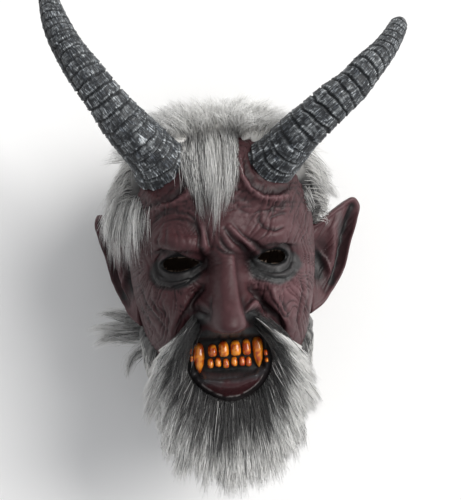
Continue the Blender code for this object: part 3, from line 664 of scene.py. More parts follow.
def socket_creases(x, y):
    """Short creases that run out from the root of each horn."""
    shape = np.zeros(np.shape(x))
    for middle_x, middle_y in HORN_SOCKETS:
        away = np.hypot(x - middle_x, y - middle_y)
        angle = np.arctan2(y - middle_y, x - middle_x)
        lines = broken_lines(8.5 * angle + 0.8 * noise(x / 8, y / 8, 6), away / 6, 44, 0.2)
        shape = shape + 1.1 * lines * np.exp(-(((away - 31.0) / 8.0) ** 2))
        rings = broken_lines(away / 2.6 + 0.5 * noise(x / 7, y / 7, 50), 3.0 * angle, 51, 0.2)
        shape = shape + 1.2 * rings * ease(29.0, 26.0, away)
    return shape


def nose_front(y):
    """Middle and half width of the front of the nose at a level."""
    levels = (-50, -36, -16, 11)
    return np.interp(y, levels, (-2.6, -3.2, -2.8, -2.6)), np.interp(y, levels, (11.6, 9.4, 8.0, 7.4))


def nose_forms(x, y):
    """Squared bridge and blunt tip of the nose, with fuller wings."""
    middle, half = nose_front(y)
    across = (x - middle) / half
    plane = 1.5 * ease(1.25, 0.8, across) * ease(-1.6, -0.7, across)
    groove = 1.7 * np.exp(-(((across - 1.6) / 0.35) ** 2)) + 0.7 * np.exp(-(((across + 1.8) / 0.5) ** 2))
    shape = (plane - groove) * ease(-57, -51, y) * ease(12, 0, y) + bump(x, y, -2.5, -48.5, 11, 6, 2.4)
    return shape + bump(x, y, -21.5, -32.5, 5.5, 6, 2.8) + bump(x, y, 19, -35, 5.5, 6, 2.6)


BROW_CRESTS = (
    ((-55, 21), (-42, 14.5), (-30, 9), (-21, 4.5), (-17, 0)),
    ((57, 12), (46, 13), (37.5, 10.5), (28.5, 8), (20.5, 2.5)),
)
UNDER_BROWS = (
    ((-51, 11), (-38, 8), (-27, 3.8), (-19, -1)),
    ((49, 9), (38, 7), (28, 4.5), (19, -1)),
)


def brow_forms(x, y):
    """Brows that hang over the eyes and run down to the nose."""
    shape = np.zeros(np.shape(x))
    for crest, under in zip(BROW_CRESTS, UNDER_BROWS):
        shape = shape + fold(x, y, crest, 4.5, 3.4) + fold(x, y, under, 2.2, -2.4)
    return shape


def wrinkles(x, y):
    """Fine relief of the face: drawn creases, fans of wrinkles and uneven skin."""
    shape = 0.45 * rough_noise(x / 9, y / 9, 1) + 0.22 * rough_noise(x / 2.6, y / 2.6, 2)
    off_nose = 1.0 - ease(1.25, 0.85, np.hypot((x + 2) / 19, (y + 24) / 38))
    shape = shape + off_nose * (0.20 * crackle(x, y, 7.0, 46) + 0.12 * crackle(x, y, 3.4, 48))
    for depth, width, line in CREASES:
        shape = shape + 1.2 * fold(x, y, line, width, depth)
    lid = eye_distance(x, y)
    shape = shape + 1.5 * np.exp(-(((lid - 2.4) / 1.6) ** 2)) - 1.2 * np.exp(-(((lid - 5.6) / 1.3) ** 2))
    calm = ease(2.0, 9.0, lid) * ease(-100, -80, y)
    mouth_area = ease(1.25, 1.6, np.hypot((x - FACE_MIDDLE_X) / 31.0, (y + 84.0) / 29.0))
    fine = cheek_fans(x, y) * off_nose + brow_lines(x, y) + forehead_lines(x, y) + temple_lines(x, y)
    return shape + (fine + socket_creases(x, y)) * calm * mouth_area


def head_angles(face_columns, back_columns):
    """Angles round the head, evenly spaced along the skin in front and wider behind."""
    limit = math.radians(FACE_ANGLE)
    fine = np.linspace(-limit, limit, 2001)
    ring = bare_head(fine, -10.0)
    along = np.concatenate(([0.0], np.cumsum(np.linalg.norm(np.diff(ring, axis=0), axis=1))))
    front = np.interp(np.linspace(0.0, along[-1], face_columns), along, fine)
    back = np.linspace(limit, 2 * math.pi - limit, back_columns + 2)[1:-1]
    return np.concatenate((front, back))


def head_levels(step, neck_rows, cap_rows):
    """Heights of the rows from the neck rim to below the crown."""
    neck = np.linspace(NECK_RIM_Y, -125.0, neck_rows, endpoint=False)
    face = np.arange(-125.0, CAP_START_Y, step)
    rise = np.sin(np.linspace(0.0, math.radians(87.0), cap_rows))
    return np.concatenate((neck, face, CAP_START_Y + (CROWN_Y - CAP_START_Y) * rise))


def mouth_mask(x, y):
    """Share of black paint in the open mouth, 0 to 1."""
    across = np.abs(x - FACE_MIDDLE_X - 0.5) / 35.5
    top = -55.5 + 3.0 * ease(0.28, 0.5, across) - 12.0 * across**3
    bottom = -90.5 + 8.0 * across**2
    edge = 1.2 * noise(x / 5, y / 5, 12)
    below = ease(top + 1.5, top - 1.5, y + edge)
    return ease(1.04, 0.92, across) * below * ease(bottom - 1.2, bottom + 1.2, y)


def lip_mask(x, y):
    """Share of lip paint on the lower lip, 0 to 1, and the distance to its lower edge."""
    across = (x - FACE_MIDDLE_X) / 29.5
    lower = -109.0 + 20.0 * np.abs(across) ** 2.1
    upper = -90.5 + 6.0 * across**2
    inside = ease(1.02, 0.94, np.abs(across))
    share = ease(lower - 1.0, lower + 1.0, y) * ease(upper + 1.5, upper - 1.5, y) * inside
    return share, np.abs(y - lower) + 40.0 * ease(0.9, 1.0, np.abs(across))


def face_paint(x, y, relief, facing):
    """Colour and shine of the painted latex at each place, with painted highlights and painted shade."""
    mottle = rough_noise(x / 13, y / 13, 21)
    dust_and_highlight_share = 0.16 + 0.26 * mottle
    # A painted highlight on the right cheek, and a paler left cheekbone.
    dust_and_highlight_share = dust_and_highlight_share + bump(x, y, 52, -26, 26, 22, 0.45) + bump(x, y, -58, -28, 20, 18, 0.15)
    # Painted highlight along the right side of the nose's ridge and over the right brow.
    ridge = np.interp(y, (-50, -36, -16, 4), (7.0, 5.2, 4.6, 4.6))
    nose_ridge_highlight = np.exp(-(((x - ridge) / 2.4) ** 2)) * ease(-54, -48, y) * ease(9, 1, y)
    dust_and_highlight_share = dust_and_highlight_share + bump(x, y, 44, 26, 22, 14, 0.30) + 0.35 * nose_ridge_highlight
    # Less dust on the nose, and painted shade over the left side of the face.
    dust_and_highlight_share = dust_and_highlight_share - bump(x, y, -3, -30, 18, 30, 0.25) - 0.22 * ease(0.0, -50.0, x)
    dust_and_highlight_share = dust_and_highlight_share + 0.60 * ease(0.15, 1.0, relief)
    for middle_x, middle_y in HORN_SOCKETS:
        dust_and_highlight_share = dust_and_highlight_share * (0.5 + 0.5 * ease(24.0, 30.0, np.hypot(x - middle_x, y - middle_y)))
    dust_and_highlight_share = np.clip(dust_and_highlight_share * facing, 0.0, 1.0)
    colour = mix(LATEX["base"], LATEX["dust_and_highlight"], dust_and_highlight_share)
    # Dark wash and painted shade in the creases.
    colour = mix(colour, LATEX["crease_wash_and_shade"], 0.82 * ease(-0.25, -1.5, relief))
    # Painted shade in the inner corners of the eyes, in the nostrils, down both sides of the nose, under the
    # brows and round the horn roots.
    deep = bump(x, y, -19, 0, 8, 8, 0.7) + bump(x, y, 18, 1, 7, 8, 0.7) + bump(x, y, 22, -8, 6, 9, 0.7)
    deep = deep + bump(x, y, -22, -44, 7, 7, 0.8) + bump(x, y, 19, -45, 6, 6, 0.8)
    middle, half = nose_front(y)
    side = (x - middle) / half
    beside = 0.45 * np.exp(-(((side - 1.5) / 0.3) ** 2)) + 0.15 * np.exp(-(((side + 1.7) / 0.5) ** 2))
    deep = deep + beside * ease(-54, -48, y) * ease(12, 2, y)
    for under in UNDER_BROWS:
        deep = deep + 0.6 * ease(4.0, 1.0, distance_to_line(x, y, under)[0])
    for middle_x, middle_y in HORN_SOCKETS:
        away = np.hypot(x - middle_x, y - middle_y)
        deep = deep + 0.25 * ease(23.5, 20.5, away)
    colour = mix(colour, LATEX["crease_wash_and_shade"], np.clip(deep, 0.0, 0.9) * facing)
    shine = np.full(np.shape(x), 0.45)
    lid = eye_distance(x, y)
    for (middle_x, middle_y), radius_x, radius_y, paler in EYE_PATCHES:
        away = np.hypot((x - middle_x) / radius_x, (y - middle_y) / radius_y)
        patch = ease(1.08, 0.86, away + 0.10 * rough_noise(x / 6, y / 6, 31))
        greyed = paler - 0.15 + 0.35 * rough_noise(x / 3, y / 3, 33) + 0.35 * ease(0.0, 0.9, relief)
        paint = mix(LATEX["black"], LATEX["grey"], np.clip(greyed, 0.0, 1.0))
        colour = mix(colour, paint, 0.93 * patch)
    colour = mix(colour, LATEX["black"], 0.9 * ease(4.2, 1.2, lid))
    fringe = distance_to_line(x, y, np.array(BEARD_ROOT, dtype=float))[0]
    colour = mix(colour, LATEX["black"], 0.92 * ease(7.5, 4.0, fringe + 1.5 * noise(x / 4, y / 4, 42)))
    lip, lip_edge = lip_mask(x, y)
    lip_colour = mix(LATEX["lip"], LATEX["lip_top"], ease(-100.0, -93.0, y + 1.5 * noise(x / 6, y / 6, 41)))
    colour = mix(colour, lip_colour, lip)
    shine = shine + 0.4 * lip
    glue = 0.75 * ease(0.9, 0.3, lip_edge) * ease(-0.3, 0.3, noise(x / 3, y / 3, 44))
    colour = mix(colour, LATEX["glue"], glue)
    black = mouth_mask(x, y)
    # Black gums with uneven grey paint, greyer towards the top as a painted sheen.
    greyed = 0.25 * rough_noise(x / 3, y / 3, 45) + 0.6 * ease(-62, -56, y)
    gum = mix(LATEX["black"], LATEX["grey"], np.clip(greyed, 0.0, 1.0))
    colour = mix(colour, gum, black)
    shine = shine - 0.30 * black
    return colour, shine


def cut_eye_holes(points, triangles):
    """Take out the faces over the eyes and draw their edge onto the almond outline."""
    x, y = points[:, 0], points[:, 1]
    in_front = points[:, 2] > FACE_FRONT_Z
    removed = np.zeros(len(triangles), dtype=bool)
    for hole in EYE_HOLES:
        inside = in_eye(hole, x, y) & in_front
        gone = inside[triangles].all(axis=1)
        removed |= gone
        edge = np.unique(triangles[~gone & inside[triangles].any(axis=1)])
        edge = edge[inside[edge]]
        outline = eye_outline(hole, 400)
        for number in edge:
            away = np.hypot(outline[:, 0] - x[number], outline[:, 1] - y[number])
            points[number, :2] = outline[np.argmin(away)]
    return points, triangles[~removed]


def open_edges(triangles):
    """Directed edges that belong to one triangle only."""
    edges = np.concatenate((triangles[:, [0, 1]], triangles[:, [1, 2]], triangles[:, [2, 0]]))
    ordered = np.sort(edges, axis=1)
    _, index, counts = np.unique(ordered, axis=0, return_index=True, return_counts=True)
    return edges[index[counts == 1]]


def turn_in_edges(points, triangles, depth):
    """Give the open edges of a skin some depth, straight back at the eyes and inward at the neck."""
    edges = open_edges(triangles)
    used = np.unique(edges)
    fresh = points[used].copy()
    at_neck = fresh[:, 1] < NECK_RIM_Y + 5.0
    fresh[~at_neck, 2] -= depth
    middle = fresh[at_neck].mean(axis=0)
    inward = middle - fresh[at_neck]
    inward[:, 1] = 0.0
    inward /= np.linalg.norm(inward, axis=1, keepdims=True)
    fresh[at_neck] += (WALL + 0.8) * inward
    lookup = np.zeros(len(points), dtype=int)
    lookup[used] = len(points) + np.arange(len(used))
    here, after = edges[:, 0], edges[:, 1]
    first = np.column_stack((after, here, lookup[here]))
    second = np.column_stack((after, lookup[here], lookup[after]))
    return np.vstack((points, fresh)), np.vstack((triangles, first, second)), used


def build_skin(material):
    """Painted outside of the latex head."""
    theta = head_angles(FACE_COLUMNS, BACK_COLUMNS)
    levels = head_levels(FACE_ROW_STEP, 16, 62)
    points = skin(theta[None, :], levels[:, None])
    facing = ease(0.02, 0.35, np.cos(theta))[None, :] * np.ones((len(levels), 1))
    x, y = points[..., 0], points[..., 1]
    relief = wrinkles(x, y) * facing + 0.25 * rough_noise(theta[None, :] * 9, y / 9, 51) * (1 - facing)
    forms = (nose_forms(x, y) + brow_forms(x, y)) * facing
    points = points + surface_normals(points) * (relief + forms)[..., None]
    colour, shine = face_paint(x, y, relief, facing)
    # Darker towards the neck rim.
    neck_darkening = ease(-112, -126, y)
    colour = mix(colour, LATEX["crease_wash_and_shade"], 0.35 * neck_darkening)
    crown = np.array([[0.0, CROWN_Y, axis_height(CROWN_Y)]])
    flat = np.vstack((points.reshape(-1, 3), crown))
    colour = np.vstack((colour.reshape(-1, 3), colour[-1, 0]))
    shine = np.append(shine.ravel(), shine[-1, 0])
    flat, triangles = cut_eye_holes(flat, dome_triangles(*x.shape))
    flat, triangles, used = turn_in_edges(flat, triangles, EYELID_DEPTH)
    colour = np.vstack((colour, np.tile(LATEX["black"], (len(used), 1))))
    shine = np.append(shine, shine[used])
    piece = make_mesh("latex_skin", flat, triangles, material, colour, shine)
    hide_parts("mask_shell")
    return piece


def build_lining(material):
    """Plain inside of the latex head."""
    theta = head_angles(110, 20)
    levels = head_levels(3.0, 8, 16)
    points = bare_head(theta[None, :], levels[:, None])
    points = points - (WALL + LINING_GAP) * surface_normals(points)
    lowest = np.full(points.shape[:2], 1e9)
    for step_x in (-5.0, 0.0, 5.0):
        for step_y in (-9.0, -6.0, -3.0, 0.0, 3.0, 6.0, 9.0):
            lowest = np.minimum(lowest, face_height(points[..., 0] + step_x, points[..., 1] + step_y))
    points[..., 2] += (lowest - 1.0) * face_weight(theta)
    points[0, :, 1] = NECK_RIM_Y
    crown = np.array([[0.0, CROWN_Y - WALL - LINING_GAP, axis_height(CROWN_Y)]])
    flat = np.vstack((points.reshape(-1, 3), crown))
    triangles = dome_triangles(*points.shape[:2])
    middles = flat[triangles].mean(axis=1)
    for hole in EYE_HOLES:
        triangles = triangles[~in_eye(hole, middles[:, 0], middles[:, 1]) | (middles[:, 2] < FACE_FRONT_Z)]
        middles = flat[triangles].mean(axis=1)
    triangles = triangles[:, ::-1]
    mottle = 1.0 + 0.25 * rough_noise(flat[:, 0] / 12, flat[:, 1] / 12, 61)
    colour = np.array(LATEX["inside"]) * mottle[:, None]
    piece = make_mesh("latex_lining", flat, triangles, material, colour, np.full(len(flat), 0.25))
    return piece


# Ears

EAR_RAYS = 132
EAR_FRONT_RINGS = 30
EAR_BACK_RINGS = (1.0, 0.99, 0.96, 0.9, 0.8, 0.66, 0.5, 0.3)


def ear_relief(out, up):
    """Depth of the hollows in the front of an ear below its rim."""
    bowl = bump(out, up, 11, -6, 11, 17, -9)
    trough = fold(out, up, [(48, 40), (40, 16), (30, -12), (18, -30)], 6.0, -6.5)
    ridge = fold(out, up, [(38, 37), (25, 22), (24, 3), (21, -20)], 4.0, 3.4)
    return bowl + trough + ridge


def ear_detail(out, up, ring):
    """Finer forms of an ear: rolled rim, sharper ridges, the small flap and wrinkles."""
    rim = 1.6 * np.exp(-(((ring - 0.93) / 0.045) ** 2))
    edge = fold(out, up, [(45, 36), (36, 14), (26, -10), (14, -24)], 2.2, 1.6)
    deep = fold(out, up, [(50, 41), (44, 22), (35, -2), (25, -20), (14, -32)], 2.4, -2.2)
    flap = bump(out, up, 3, -9, 3.5, 6, 4.0) + fold(out, up, [(6, 2), (8, -8), (6, -18)], 1.6, -1.8)
    arch = fold(out, up, [(2, 2), (10, 7), (18, -4), (21, -17), (15, -28)], 1.8, 2.4)
    wide = fold(out, up, [(45, 35), (38, 16), (30, -6)], 3.4, -2.0)
    uneven = 0.35 * rough_noise(out / 6, up / 6, 71)
    lines = 0.8 * broken_lines((0.8 * out - 0.6 * up) / 3.6, (0.6 * out + 0.8 * up) / 8, 76)
    lines = lines * ease(0.98, 0.85, ring)
    return rim + edge + deep + wide + flap + arch + uneven + lines


def ear_paint(relief, out, up, front):
    """Maroon rims round nearly black hollows, with painted shade in the creases and a painted grey sheen."""
    strip = distance_to_line(out, up, ((48, 40), (44.5, 33), (38, 14), (30.5, -7), (22, -24)))[0]
    bowl = np.hypot((out - 9.5) / 8.5, (up + 9) / 13.5) + 0.10 * noise(out / 4, up / 4, 74)
    in_strip = ease(4.6, 2.2, strip + 0.8 * noise(out / 5, up / 5, 75))
    hollow = np.maximum(in_strip, ease(1.15, 0.8, bowl)) * front
    dust_and_highlight_share = np.clip(0.25 + 0.3 * rough_noise(out / 9, up / 9, 73) + 0.25 * ease(0.5, 3.0, relief), 0, 1)
    colour = mix(LATEX["base"], LATEX["dust_and_highlight"], dust_and_highlight_share * (0.4 + 0.6 * front))
    colour = mix(colour, LATEX["black"], 0.95 * hollow)
    # Painted sheen: grey patches in the hollows.
    sheen = bump(out, up, 7, -4, 5, 8, 0.8) + bump(out, up, 34, 22, 4.5, 12, 0.7)
    # Painted shade in the deeper creases outside the hollows.
    colour = mix(colour, LATEX["crease_wash_and_shade"], 0.6 * front * ease(-0.8, -3.0, relief) * (1 - hollow))
    return mix(colour, LATEX["grey"], np.clip(sheen * front, 0, 1))


def build_ear(side, material):
    """Pointed ear with a rolled rim, its root sunk in the side of the head."""
    sign = -1 if side == "left" else 1
    sweep = math.radians(EAR_SWEEP[side])
    outline = smooth_path(EAR_OUTLINE, EAR_RAYS - 12)
    root = np.column_stack((np.full(12, -3.0), np.linspace(-50.0, 24.0, 14)[1:-1]))
    outline = np.vstack((outline, root))
    centre = np.array(EAR_CENTRE, dtype=float)
    rings = np.concatenate((np.linspace(0.04, 0.99, EAR_FRONT_RINGS), EAR_BACK_RINGS))
    front = np.concatenate((np.ones(EAR_FRONT_RINGS), np.zeros(len(EAR_BACK_RINGS))))
    flat = centre + rings[:, None, None] * (outline - centre)[None, :, :]
    out, up = flat[..., 0], flat[..., 1]
    ring = rings[:, None] * np.ones(len(outline))
    detail = ear_detail(out, up, ring) * ease(1.0, 0.97, ring)
    hollow = ear_relief(out, up)
    behind = -EAR_THICKNESS - 9.6 * (1.0 - ring) + 0.4 * rough_noise(out / 8, up / 8, 72)
    behind = np.minimum(behind, hollow + detail - 1.8)
    proud = np.where(front[:, None] > 0, hollow + detail, behind)
    swept = (
        sign * (EAR_ROOT_X + out * math.cos(sweep) + proud * math.sin(sweep)),
        up,
        EAR_ROOT_Z - out * math.sin(sweep) + proud * math.cos(sweep),
    )
    points = np.stack(swept, axis=-1)
    colour = ear_paint(hollow + detail, out, up, front[:, None])
    rows, columns = out.shape
    flat_points = np.vstack((points.reshape(-1, 3), points[0].mean(axis=0), points[-1].mean(axis=0)))
    flat_colour = np.vstack((colour.reshape(-1, 3), colour[0, 0], colour[-1, 0]))
    triangles = tube_triangles(rows, columns)
    if sign < 0:
        triangles = triangles[:, ::-1]
    shine = np.full(len(flat_points), 0.5)
    piece = make_mesh(f"ear_{side}", flat_points, triangles, material, flat_colour, shine)
    return piece


# Teeth

TOOTH_LEVELS = 14
TOOTH_SIDES = 16
BACK_TEETH = (
    (-33.5, -67.5, -72.5, 1.7),
    (-33.0, -73.5, -78.5, 1.5),
    (26.6, -72.5, -77.5, 1.6),
    (27.0, -79.0, -83.0, 1.4),
)
FANG_FULLNESS = ((0, 0.06, 0.18, 0.45, 0.75, 0.93, 1.0), (0.3, 0.72, 0.95, 1.0, 0.74, 0.36, 0.12))
TOOTH_FULLNESS = ((0, 0.08, 0.28, 0.62, 0.9, 1.0), (0.34, 0.66, 0.9, 1.0, 0.92, 0.62))
TOOTH_COLOURS = {"pale": (0.74, 0.25, 0.016), "deep": (0.38, 0.045, 0.004), "root": (0.08, 0.012, 0.003)}


def tooth_points(middle, top, bottom, half_width, proud, pointed):
    """Rounded tooth from its root in the gum to its tip, with how far down each point is."""
    level = np.linspace(0.0, 1.0, TOOTH_LEVELS)
    full = np.interp(level, *(FANG_FULLNESS if pointed else TOOTH_FULLNESS))
    gum = float(skin_depth(middle, 0.5 * (top + bottom))) + 0.5
    angle = np.linspace(0.0, 2 * math.pi, TOOTH_SIDES, endpoint=False)
    y = top + (bottom - top) * level
    depth = proud * full * (0.75 + 0.25 * level)
    x = middle + (half_width * full)[:, None] * signed_power(np.cos(angle), 0.85)[None, :]
    z = gum + depth[:, None] * signed_power(np.sin(angle), 0.85)[None, :]
    ys = y[:, None] * np.ones(TOOTH_SIDES)[None, :]
    points = np.stack((x, ys, z), axis=-1).reshape(-1, 3)
    tips = np.array([(middle, top + 0.5, gum), (middle, bottom - (0.8 if pointed else 0.3), gum)])
    down = np.concatenate((np.repeat(level, TOOTH_SIDES), (0.0, 1.0)))
    return np.vstack((points, tips)), down


def build_teeth(material):
    """Two fangs, the front teeth above and below, and the last teeth in the corners."""
    teeth = [(*tooth, 9.0, True) for tooth in FANGS]
    teeth += [(*tooth, 7.0, False) for tooth in UPPER_TEETH]
    top, bottom = LOWER_TEETH_Y
    for number, middle in enumerate(LOWER_TEETH_X):
        lift = 0.7 * math.sin(2.3 * number)
        teeth.append((middle, top + lift, bottom + lift, LOWER_TOOTH_HALF_WIDTH, 5.0, False))
    teeth += [(*tooth, 5.0, False) for tooth in BACK_TEETH]
    points, triangles, colours = [], [], []
    start = 0
    for number, tooth in enumerate(teeth):
        solid, down = tooth_points(*tooth)
        points.append(solid)
        triangles.append(tube_triangles(TOOTH_LEVELS, TOOTH_SIDES) + start)
        start += len(solid)
        patchy = 1.4 * rough_noise(solid[:, 0] / 1.8 + 9 * number, solid[:, 1] / 2.4, 81)
        patchy = patchy + 0.5 * lattice(float(number), 1.0, 3.0) - 0.15
        colour = mix(TOOTH_COLOURS["pale"], TOOTH_COLOURS["deep"], ease(-0.35, 0.5, patchy))
        colours.append(mix(colour, TOOTH_COLOURS["root"], ease(0.22, 0.0, down)))
    piece = make_mesh("teeth", np.vstack(points), np.vstack(triangles), material, np.vstack(colours))
    return piece


# Horns

HORN_ALONG = 370
HORN_ROUND = 100
HORN_RINGS = {"left": 24, "right": 22}
HORN_ROOT_SHIFT = {"left": np.array((1.0, -1.0, 0.0)), "right": np.array((-3.0, -3.5, 0.0))}
HORN_COLOURS = {
    "groove": (0.006, 0.007, 0.008),
    "body": (0.0130, 0.0148, 0.0175),
    "brushed": (0.25, 0.268, 0.28),
}


def horn_relief(side, along, angle):
    """Rings, grooves and fine ridges of a horn, with how brushed each place is."""
    seed = 90.0 if side == "left" else 120.0
    rings = HORN_RINGS[side]
    east, north = np.cos(angle), np.sin(angle)
    wave = 0.20 * noise(1.5 * east + 7, along * 9 + 1.5 * north, seed)
    wave = wave + 0.12 * noise(2.8 * east + 9, along * 17 + 2.8 * north, seed + 1)
    place = rings * (0.80 * along + 0.20 * along**1.8) + wave + 0.18 * noise(along * 7, angle * 0, seed + 2)
    part = place - np.floor(place)
    number = np.floor(place)
    edge = np.minimum(part, 1.0 - part)
    uneven = 0.45 + 0.55 * lattice(number, 0.0, seed)
    groove = np.exp(-((edge / 0.10) ** 2)) * uneven
    step = 0.45 * (1.0 - part) + 0.35 * np.sin(math.pi * part) ** 0.6
    valley_angle = 2.2 + 0.25 * noise(along * 6, along * 0, seed + 3)
    split = np.exp(-(((angle - valley_angle) / 0.10) ** 2)) * ease(0.95, 0.7, along) * (side == "left")
    fine = broken_lines(angle * 15 + 3.1 * number, along * 34, seed + 4, 0.2)
    finer = broken_lines(angle * 8.5 + 1.7 * number, along * 50, seed + 7, 0.2)
    cross = broken_lines(place * 3.1, angle * 6, seed + 10, 0.16)
    chips = rough_noise(angle * 8 + number, along * 80, seed + 6)
    tip = ease(1.0, 0.9, along)
    grain = 0.5 * (fine + 0.5) + 0.4 * (finer + 0.4) + 0.3 * cross
    lip = np.exp(-(((edge - 0.17) / 0.055) ** 2))
    relief = (1.1 * step + 0.55 * lip - 1.7 * groove) * (0.35 + 0.65 * tip) + 0.62 * grain + 0.30 * chips
    relief = relief - 1.3 * split * tip
    high = ease(0.10, 0.55, grain + 0.45 * chips)
    brushed = high * (0.25 + 0.5 * ease(-0.4, 0.5, noise(angle * 3, along * 22, seed + 12)))
    brushed = brushed + lip * ease(-0.35, 0.35, chips + 0.3 * fine) * 0.8
    brushed = brushed * (1.0 - groove) * (1.0 - 0.7 * split)
    return relief, np.clip(brushed, 0.0, 1.0), np.clip(groove + 0.8 * split, 0.0, 1.0)


def build_horn(side, material):
    """Ringed horn swept along its bent middle line."""
    path = smooth_path(HORN_STATIONS[side], HORN_ALONG)
    centres, radii = path[:, :3].copy(), path[:, 3]
    along = np.linspace(0.0, 1.0, HORN_ALONG)
    centres += ease(0.28, 0.10, along)[:, None] * HORN_ROOT_SHIFT[side]
    angle = np.linspace(0.0, 2 * math.pi, HORN_ROUND, endpoint=False)
    tangents = np.gradient(centres, axis=0)
    tangents /= np.linalg.norm(tangents, axis=1, keepdims=True)
    relief, brushed, groove = horn_relief(side, along[:, None], angle[None, :])
    scale = np.clip(radii / 15.0, 0.5, 1.0)[:, None]
    round_off = np.sqrt(np.clip((1.0 - along) / 0.035, 0.0, 1.0))[:, None] * 0.6 + 0.4
    grown = (radii[:, None] - 1.0 + relief * scale) * np.where(along[:, None] > 0.965, round_off, 1.0)
    grown *= 1.0 + 0.035 * np.cos(2 * angle[None, :] + 0.6)
    grown *= 1.0 + 0.13 * ease(0.20, 0.10, along)[:, None]
    across = np.array((0.0, 0.0, -1.0))
    points = np.empty((HORN_ALONG, HORN_ROUND, 3))
    for number, (centre, tangent) in enumerate(zip(centres, tangents)):
        across = across - tangent * across.dot(tangent)
        across /= np.linalg.norm(across)
        third = np.cross(tangent, across)
        spokes = np.cos(angle)[:, None] * across + np.sin(angle)[:, None] * third
        points[number] = centre + grown[number][:, None] * spokes
    mottle = 1.0 + 0.35 * rough_noise(angle[None, :] * 3, along[:, None] * 30, 95)
    body = np.array(HORN_COLOURS["body"]) * mottle[..., None]
    colour = mix(body, HORN_COLOURS["brushed"], brushed * (0.62 + 0.2 * along[:, None]))
    colour = mix(colour, HORN_COLOURS["groove"], 0.92 * groove)
    ends = np.array((centres[0] - tangents[0], centres[-1] + 1.6 * tangents[-1]))
    flat = np.vstack((points.reshape(-1, 3), ends))
    flat_colour = np.vstack((colour.reshape(-1, 3), colour[0, 0], colour[-1, 0]))
    triangles = tube_triangles(HORN_ALONG, HORN_ROUND)
    piece = make_mesh(f"ringed_horn_{side}", flat, triangles, material, flat_colour)
    grain = np.zeros((len(flat), 3), dtype=np.float32)
    grain[:-2, 0] = np.tile(16.0 * angle, HORN_ALONG)
    grain[:-2, 1] = np.repeat(200.0 * along, HORN_ROUND)
    layer = piece.data.attributes.new("Grain", "FLOAT_VECTOR", "POINT")
    layer.data.foreach_set("vector", grain.ravel())
    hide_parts(f"horn_{side}")
    return piece


# Fur

FUR = {
    "under": (0.014, 0.0135, 0.0135),
    "dark": (0.022, 0.0215, 0.0215),
    "grey": (0.27, 0.266, 0.255),
    "light": (0.80, 0.79, 0.76),
    "white": (0.97, 0.965, 0.94),
}
HOOD_STATIONS = 4
LOCK_STATIONS = 5
LOCK_BUNDLES = 7
GUIDE_POINTS = 40
GUIDE_LAST = GUIDE_POINTS - 1
BEARD_STATIONS = 4
UV_CELL_SHAPE = 3.0
HAIR_SEED = 7
BEARD_SEED = 11


def thick_sheet(outer, inner, triangles, keep):
    """Closed sheet between an outer and an inner layer of points, over the triangles kept."""
    count = len(outer)
    kept = triangles[keep[triangles].all(axis=1)]
    edges = open_edges(kept)
    here, after = edges[:, 0], edges[:, 1]
    side_a = np.column_stack((after, here, here + count))
    side_b = np.column_stack((after, here + count, after + count))
    triangles = np.vstack((kept, kept[:, ::-1] + count, side_a, side_b))
    points = np.vstack((outer, inner))
    used, renumbered = np.unique(triangles, return_inverse=True)
    return points[used], renumbered.reshape(-1, 3), used % count


def streaks(across, along, seed):
    """Narrow uneven stripes that run along the fur."""
    return 0.6 * noise(across, along * 0.12, seed) + 0.4 * noise(across * 2.3, along * 0.2, seed + 1)


def build_undercoat(material):
    """Dark backing with the short dense fur, under the loose strands of the hood; pale on the crown, partly
    as painted light.
    """
    half = np.radians(np.concatenate((np.arange(0.0, 60.0, 4.0), np.arange(60.0, 180.0, 2.5))))
    theta = np.concatenate((-half[:0:-1], half, [math.pi]))[None, :]
    low = np.arange(NAPE_Y - 4.0, CAP_START_Y, 3.5)
    rise = np.sin(np.radians(np.linspace(0.0, 86.0, 30)))
    levels = np.concatenate((low, CAP_START_Y + (CROWN_Y - CAP_START_Y) * rise))[:, None]
    base = skin(theta, levels)
    normals = surface_normals(bare_head(theta, levels))
    depth, covered = fur_thickness(theta, levels)
    bend = 1.5 * noise(theta * 3, levels / 18, 140)
    locks = 1.6 * np.cos(17.0 * theta + 0.05 * levels + bend)
    pale = ease(60.0, 100.0, levels) * ease(2.4, 1.6, np.abs(theta))
    height = ((0.5 + 0.2 * pale) * depth + locks) * ease(0.2, 0.95, covered)
    height = height - 1.3 * ease(0.6, 0.15, covered)
    outer = (base + normals * height[..., None]).reshape(-1, 3)
    inner = (base - normals * 2.6).reshape(-1, 3)
    top = np.array([[0.0, CROWN_Y, axis_height(CROWN_Y)]])
    outer = np.vstack((outer, top + (0.0, 0.5 * FUR_CROWN, 0.0)))
    inner = np.vstack((inner, top - (0.0, 2.6, 0.0)))
    outer[:, 2] = np.maximum(outer[:, 2], 0.6)
    keep = np.append((covered * np.ones(base.shape[:2])).ravel() > 0.12, True)
    points, triangles, source = thick_sheet(outer, inner, dome_triangles(*base.shape[:2]), keep)
    stripes = ease(-0.2, 0.7, streaks(theta * 60.0, levels * np.ones(base.shape[:2]), 143))
    # Pale on the crown: the white fur's own colour there, lifted further as painted light shining through the
    # fur.
    pale = np.maximum(pale, ease(92.0, 104.0, levels))
    colour = mix(FUR["under"], FUR["grey"], 0.75 * stripes + 0.25 * pale)
    colour = mix(colour, FUR["light"], 0.85 * pale).reshape(-1, 3)
    colour = np.vstack((colour, colour[-1]))
    piece = make_mesh("fur_undercoat", points, triangles, material, colour[source])
    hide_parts("hair")
    return piece


def beard_curves(count):
    """Root and tip of the beard at evenly spaced places across its fan."""
    return smooth_path(BEARD_ROOT, count), smooth_path(BEARD_TIP, count)


def beard_swell(part):
    """How full the beard is from its root, 0, to its tip, 1."""
    return np.sin(math.pi * np.clip(0.12 + 0.88 * part, 0.0, 1.0)) ** 0.7


